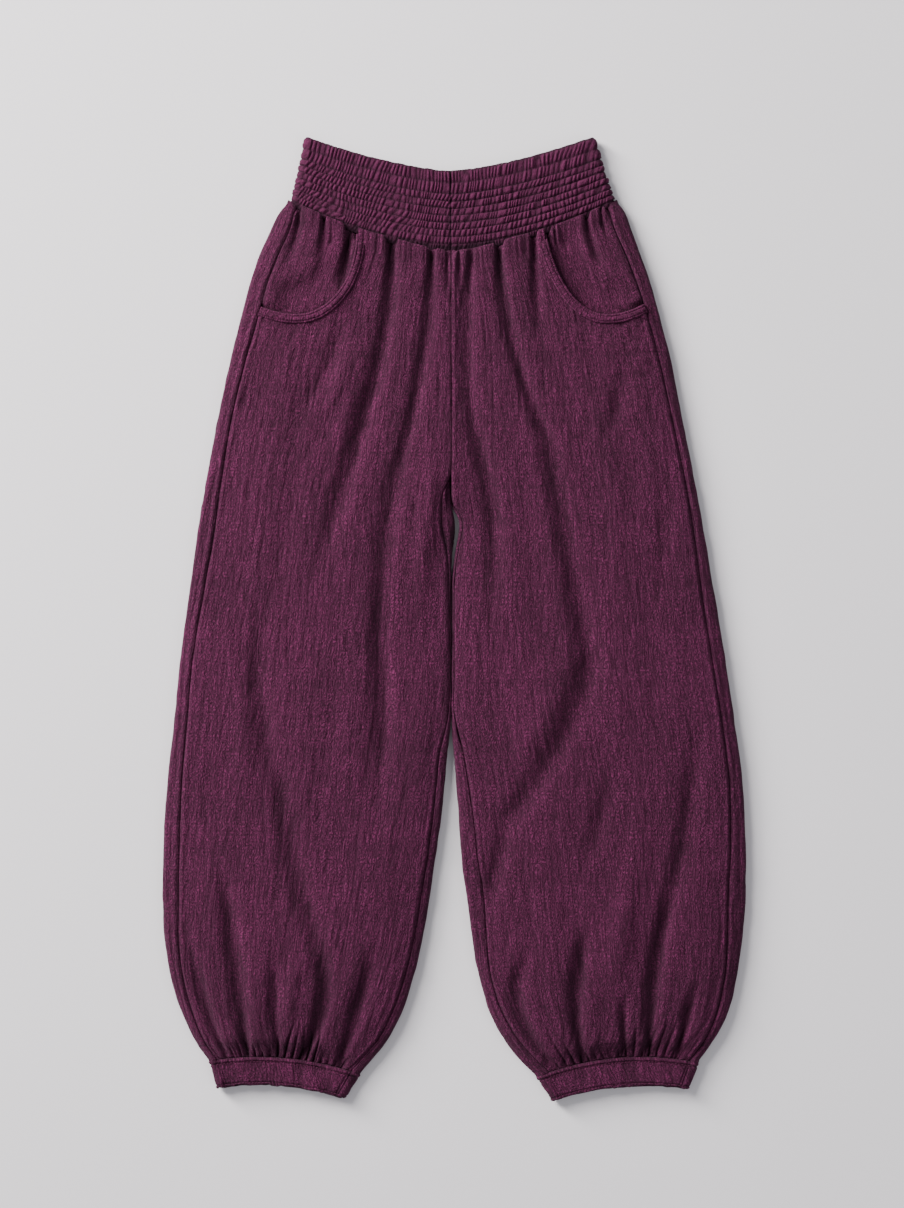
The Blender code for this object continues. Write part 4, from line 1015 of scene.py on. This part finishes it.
def makeCuff(side):
    leg = legs[side]
    points, uvs, hollowShade = [], [], []
    for ring in range(cuffs["rings"] + 1):
        share = ring / cuffs["rings"]
        _, _, endOut, endIn = cuffSurface(side, np.array([0.0]), share)
        x, z, nx, nz, around = flattenedRing(
            min(endOut, endIn), max(endOut, endIn), garment["roll"],
            cuffs["frontColumns"], cuffs["backColumns"], cuffs["arcColumns"])
        u = (x - endOut) / (endIn - endOut)
        _, y, _, _ = cuffSurface(side, u, share)
        down = share * cuffs["depth"]
        slant = around + 0.35 * down
        lift = 0.55 * crinkleHeight(slant, down * 1.7, leg["seed"] + 30)
        lift = lift + 0.9 * softNoise(slant / 9.0, down / 22.0, leg["seed"] + 31)
        lift = lift * ease(0.25 + down / 5.0)
        hemLine = math.exp(-((down - cuffs["hemStitch"]) / 0.9) ** 2)
        lines = math.exp(-((down - cuffs["stitchFromSeam"]) / 0.8) ** 2) + hemLine
        # painted shade in the crinkle's valleys, along the two stitch lines and at the seam
        hollowShade.append(0.1 - lift / 2.2 + 0.45 * lines + 0.6 * math.exp(-down / 0.9))
        lift = lift - cuffs["stitchGroove"] * np.exp(-((down - cuffs["stitchFromSeam"]) / 0.7) ** 2)
        lift = lift + 0.6 * math.exp(-((down - 2.4) / 1.2) ** 2)
        lift = lift - 0.8 * hemLine
        lift = lift - cuffs["hemRound"] * ease((down - cuffs["hemTurn"]) / 1.4) ** 2
        lift = lift - 1.1 * math.exp(-down / 0.7)
        endDistance = np.minimum(np.abs(x - endOut), np.abs(x - endIn))
        for line in cuffs["sideLines"]:
            groove = np.exp(-((endDistance - line) / 0.75) ** 2) * (nz > 0.9)
            lift = lift - 1.0 * groove
            # painted shade in the groove
            hollowShade[-1] = hollowShade[-1] + 0.45 * groove
        under = np.clip(-nz, 0.0, 1.0)
        x = x + nx * lift
        z = z + nz * lift * (1.0 - under) + under * (0.4 + 0.5 * np.clip(lift, -0.8, 0.8))
        uneven = softNoise(around / 5.0, 2.0, leg["seed"] + 33)
        y = y + ease((share - 0.8) / 0.2) * (1.4 * uneven - under * (1.8 + 1.0 * uneven))
        points.append(np.stack([x, y, np.maximum(z, 0.02)], axis=1))
        uvs.append(np.stack([around, np.full_like(around, -down)], axis=1))
    points = np.array(points)
    faces = latticeFaces(*points.shape[:2], closed=True, flip=True)
    piece = meshPiece("cuff_" + side + "_folded", points, faces, uvs, cuffCloth,
                      ["cuff_" + side], hollowShade=np.array(hollowShade))
    thicken(piece, cuffs["wall"])


pocketBack = {
    "columns": 76,
    "kHigh": 0.62,
    "grainStart": 40.0,
    "lap": 8.0,              # how far it goes on under the front
    "drop": 3.8,             # how much lower it lies than the front
    "dropFull": 24.0,
    "dropFade": 18.0,
    "edgeRun": 16.0,         # over which it rises to the side seam and the waist
}


def makePocketBacking(side):
    leg = legs[side]
    rows = np.concatenate([np.arange(0.0, 0.02, 0.0013), np.arange(0.02, 0.16, 0.0028)])
    x, y, k = frontGrid(side, pocketBack["columns"], 0.0, pocketBack["kHigh"], rows)
    z, _, hollowShade, _ = dressedTop(side, x, y, k)
    depth = insideMouth(side, x, y)
    fade = ease((pocketBack["dropFull"] + pocketBack["dropFade"] - depth) / pocketBack["dropFade"])
    width = np.abs(x[:, -1:] - x[:, :1])
    fromWaist, _ = fromEnds(leg, x, y)
    # the backing lies lower than the front, but not at the side seam or the waist
    inside = ease((depth - 1.0) / 6.0)
    away = ease((k * width - 1.0) / pocketBack["edgeRun"]) * ease(fromWaist / pocketBack["edgeRun"])
    z = z - pocketBack["drop"] * fade * (1.0 - inside * (1.0 - away))
    bulge = waistBulge(side, x, y, fromWaist, k) * inside
    z = z + front["waistBulgeLift"] * bulge
    y = y + front["waistBulge"] * bulge
    z = z - front["seamSink"] * np.exp(-k * width / 1.2) - 1.6 * np.exp(-fromWaist / 2.0)
    # painted shade along the side seam edge and inside the pocket mouth, next to its edge
    hollowShade = hollowShade + 0.3 * np.exp(-k * width / 1.2) + 0.95 * np.exp(-np.maximum(depth, 0.0) / 2.0)
    keep = cellMeans(depth) > -pocketBack["lap"]
    grain = k * front["grainWidth"] + pocketBack["grainStart"]
    points, uv, hollowShade, faces = cutSheet(side, x, y, z, grain, hollowShade, keep)
    piece = meshPiece("pocketBacking_" + side, points, faces, uv, cloth,
                      ["pocket_backing_" + side], hollowShade=hollowShade)
    thicken(piece, garment["shell"])


mouthStrip = {
    "steps": 190,
    # across the strip: distance from the mouth, height over the front
    "profile": [(-0.1, -2.8), (-0.5, -0.8), (-0.2, 0.7), (0.4, 1.4), (1.1, 1.3), (1.6, 0.7),
                (2.1, 1.1), (3.1, 1.5), (4.3, 1.6), (5.4, 1.4), (6.1, 1.0), (6.6, 0.3),
                (7.0, 0.8), (7.6, 0.8), (8.1, 0.3), (8.4, -0.9)],
    "stitchLines": (1.6, 6.6),
    "cutWidth": 13.5,
    "wall": 0.5,
}


def stripStations(side, steps):
    leg = legs[side]
    line = mouthLine(side, 120)
    run = np.concatenate([[0.0], np.cumsum(np.hypot(*np.diff(line, axis=0).T))])
    fine = np.linspace(0.0, run[-1], 4000)
    x, y = np.interp(fine, run, line[:, 0]), np.interp(fine, run, line[:, 1])
    belowWaist = rowY(leg, 0.0, x) - y > 0.6
    inset = smoothCurve(sideTable, leg["column"] + 1, y)
    insideSeam = (outerEdge(leg, y) - x) * leg["out"] - inset > 0.6
    kept = fine[belowWaist & insideSeam]
    places = np.linspace(kept[0], kept[-1], steps + 1)
    spots = np.stack([np.interp(places, run, line[:, 0]), np.interp(places, run, line[:, 1])], axis=1)
    along = np.gradient(spots, axis=0)
    along /= np.hypot(along[:, 0], along[:, 1])[:, None]
    sideways = np.stack([-along[:, 1], along[:, 0]], axis=1) * -leg["out"]
    return spots, sideways, places - places[0]


def plainTop(side, x, y):
    # height of the front without its finest crinkle, for what lies on it
    leg = legs[side]
    return topHeight(side, x, y) + 0.25 * softNoise(x / 6.0, y / 30.0, leg["seed"] + 70)


def makeMouthStrip(side):
    leg = legs[side]
    spots, sideways, run = stripStations(side, mouthStrip["steps"])
    points, uvs = [], []
    for inset, height in mouthStrip["profile"]:
        place = spots + sideways * inset
        z = plainTop(side, place[:, 0], place[:, 1]) + height + 0.35
        z = z + 0.3 * softNoise(run / 3.0, inset / 2.0, leg["seed"] + 20)
        points.append(np.stack([place[:, 0], place[:, 1], z], axis=1))
        uvs.append(np.stack([run, np.full_like(run, inset)], axis=1))
    points = np.array(points)
    faces = latticeFaces(*points.shape[:2], flip=side == "left")
    piece = meshPiece("pocketStrip_" + side, points, faces, uvs, stripCloth,
                      ["pocket_band_" + side])
    thicken(piece, mouthStrip["wall"])


stitches = {"length": 2.5, "gap": 0.9, "radius": 0.3, "sink": 0.1}


def stitchRun(path):
    # short threads along a path, each a slim six-sided spindle: points and faces
    path = np.asarray(path)
    run = np.concatenate([[0.0], np.cumsum(np.linalg.norm(np.diff(path, axis=0), axis=1))])
    pitch = stitches["length"] + stitches["gap"]
    points, faces = [], []
    for n in range(int(run[-1] / pitch)):
        start = n * pitch + stitches["gap"] / 2.0
        ends = [np.array([np.interp(start + d, run, path[:, i]) for i in range(3)])
                for d in (0.0, stitches["length"])]
        axis = ends[1] - ends[0]
        axis = axis / np.linalg.norm(axis)
        sideways = np.cross(axis, [0.0, 0.0, 1.0])
        sideways = sideways / np.linalg.norm(sideways)
        up = np.cross(sideways, axis)
        first = len(points)
        for part, size in ((0.0, 0.35), (0.2, 0.95), (0.5, 1.0), (0.8, 0.95), (1.0, 0.35)):
            centre = ends[0] + (ends[1] - ends[0]) * part
            centre = centre + up * (0.22 * math.sin(math.pi * part) - stitches["sink"])
            for side in range(6):
                angle = math.pi * side / 3.0
                offset = sideways * math.cos(angle) + up * math.sin(angle)
                points.append(centre + offset * stitches["radius"] * size)
        for ring in range(4):
            for side in range(6):
                a = first + ring * 6 + side
                b = first + ring * 6 + (side + 1) % 6
                faces.append((a, b, b + 6, a + 6))
        faces.append(tuple(first + side for side in reversed(range(6))))
        faces.append(tuple(first + 24 + side for side in range(6)))
    return points, faces


def makeStitches(name, paths):
    points, faces = [], []
    for path in paths:
        newPoints, newFaces = stitchRun(path)
        first = len(points)
        points += newPoints
        faces += [tuple(first + i for i in face) for face in newFaces]
    points = np.array(points)
    meshPiece(name, points, faces, points[:, :2], thread)


def stripStitchPaths(side):
    spots, sideways, _ = stripStations(side, 90)
    paths = []
    for inset in mouthStrip["stitchLines"]:
        place = (spots + sideways * inset)[1:-1]
        z = plainTop(side, place[:, 0], place[:, 1]) + 0.35 + 0.62
        paths.append(np.stack([place[:, 0], place[:, 1], z], axis=1))
    return paths


def cuffStitchPaths(side):
    u = np.linspace(0.045, 0.955, 90)
    paths = []
    for down in (cuffs["stitchFromSeam"], cuffs["hemThread"]):
        x, y, _, _ = cuffSurface(side, u, down / cuffs["depth"])
        z = np.full_like(x, 2.0 * garment["roll"] + 0.05)
        paths.append(np.stack([x, y, z], axis=1))
    return paths


def makeFloor():
    bpy.ops.object.select_all(action="DESELECT")
    bpy.ops.mesh.primitive_plane_add(size=7.0, location=(0.0, 0.0, -0.0003))
    floor = bpy.context.object
    floor.name = "floor"
    material = bpy.data.materials.new("paleGreyFloor")
    material.use_nodes = True
    shader = material.node_tree.nodes["Principled BSDF"]
    shader.inputs["Base Color"].default_value = (0.672, 0.646, 0.677, 1.0)
    shader.inputs["Roughness"].default_value = 0.9
    shader.inputs["Specular IOR Level"].default_value = 0.1
    floor.data.materials.append(material)


lighting = {
    "world": (0.96, 0.965, 1.0),
    "worldStrength": 0.45,
    # place, size, power, colour
    "keyLight": ((-2.5, 2.1, 2.3), 1.9, 305.0, (1.0, 0.985, 0.96)),
    "sideLight": ((-3.1, 2.2, 1.25), 1.3, 370.0, (1.0, 0.985, 0.96)),
    "fillLight": ((2.2, -1.4, 2.6), 2.4, 32.0, (0.95, 0.97, 1.0)),
}


def areaLight(name, place, size, power, colour):
    data = bpy.data.lights.new(name, "AREA")
    data.shape = "DISK"
    data.size = size
    data.energy = power
    data.color = colour
    lamp = bpy.data.objects.new(name, data)
    lamp.location = place
    aim = np.array([0.0, 0.0, 0.0]) - np.array(place)
    lamp.rotation_euler = (math.acos(-aim[2] / np.linalg.norm(aim)), 0.0,
                           math.atan2(aim[1], aim[0]) - math.pi / 2.0)
    bpy.context.scene.collection.objects.link(lamp)


def makeLights():
    world = bpy.data.worlds.new("softWorld")
    bpy.context.scene.world = world
    world.use_nodes = True
    background = world.node_tree.nodes["Background"]
    background.inputs["Color"].default_value = (*lighting["world"], 1.0)
    background.inputs["Strength"].default_value = lighting["worldStrength"]
    for name in ("keyLight", "sideLight", "fillLight"):
        areaLight(name, *lighting[name])


view = {
    "lens": 85.0,
    "longSide": 36.0,
    "frameHeight": 1208,     # the photograph's size in pixels
    "pixel": 1.01765,        # millimetres of cloth in one of them
    "centre": (-2.34, 14.76),
    "clothLevel": 12.0,
}


def makeCamera():
    data = bpy.data.cameras.new("overhead")
    data.lens = view["lens"]
    data.sensor_width = view["longSide"]
    data.clip_end = 20.0
    camera = bpy.data.objects.new("overhead", data)
    reach = view["frameHeight"] * view["pixel"] * view["lens"] / view["longSide"]
    camera.location = ((view["centre"][0] + shiftX) * mm, (view["centre"][1] + shiftY) * mm,
                       (reach + view["clothLevel"]) * mm)
    bpy.context.scene.collection.objects.link(camera)
    bpy.context.scene.camera = camera


makeFloor()
makeLights()
makeCamera()
print("floor, lights and camera set")
makeWaistband()
print("waistband made")
for sideName in legs:
    makeFront(sideName)
    makeBack(sideName)
    print("leg made", sideName)
    makeCuff(sideName)
    makePocketBacking(sideName)
    makeMouthStrip(sideName)
    makeStitches("pocketStitches_" + sideName, stripStitchPaths(sideName))
    makeStitches("cuffStitches_" + sideName, cuffStitchPaths(sideName))
    print("cuff and pocket made", sideName)
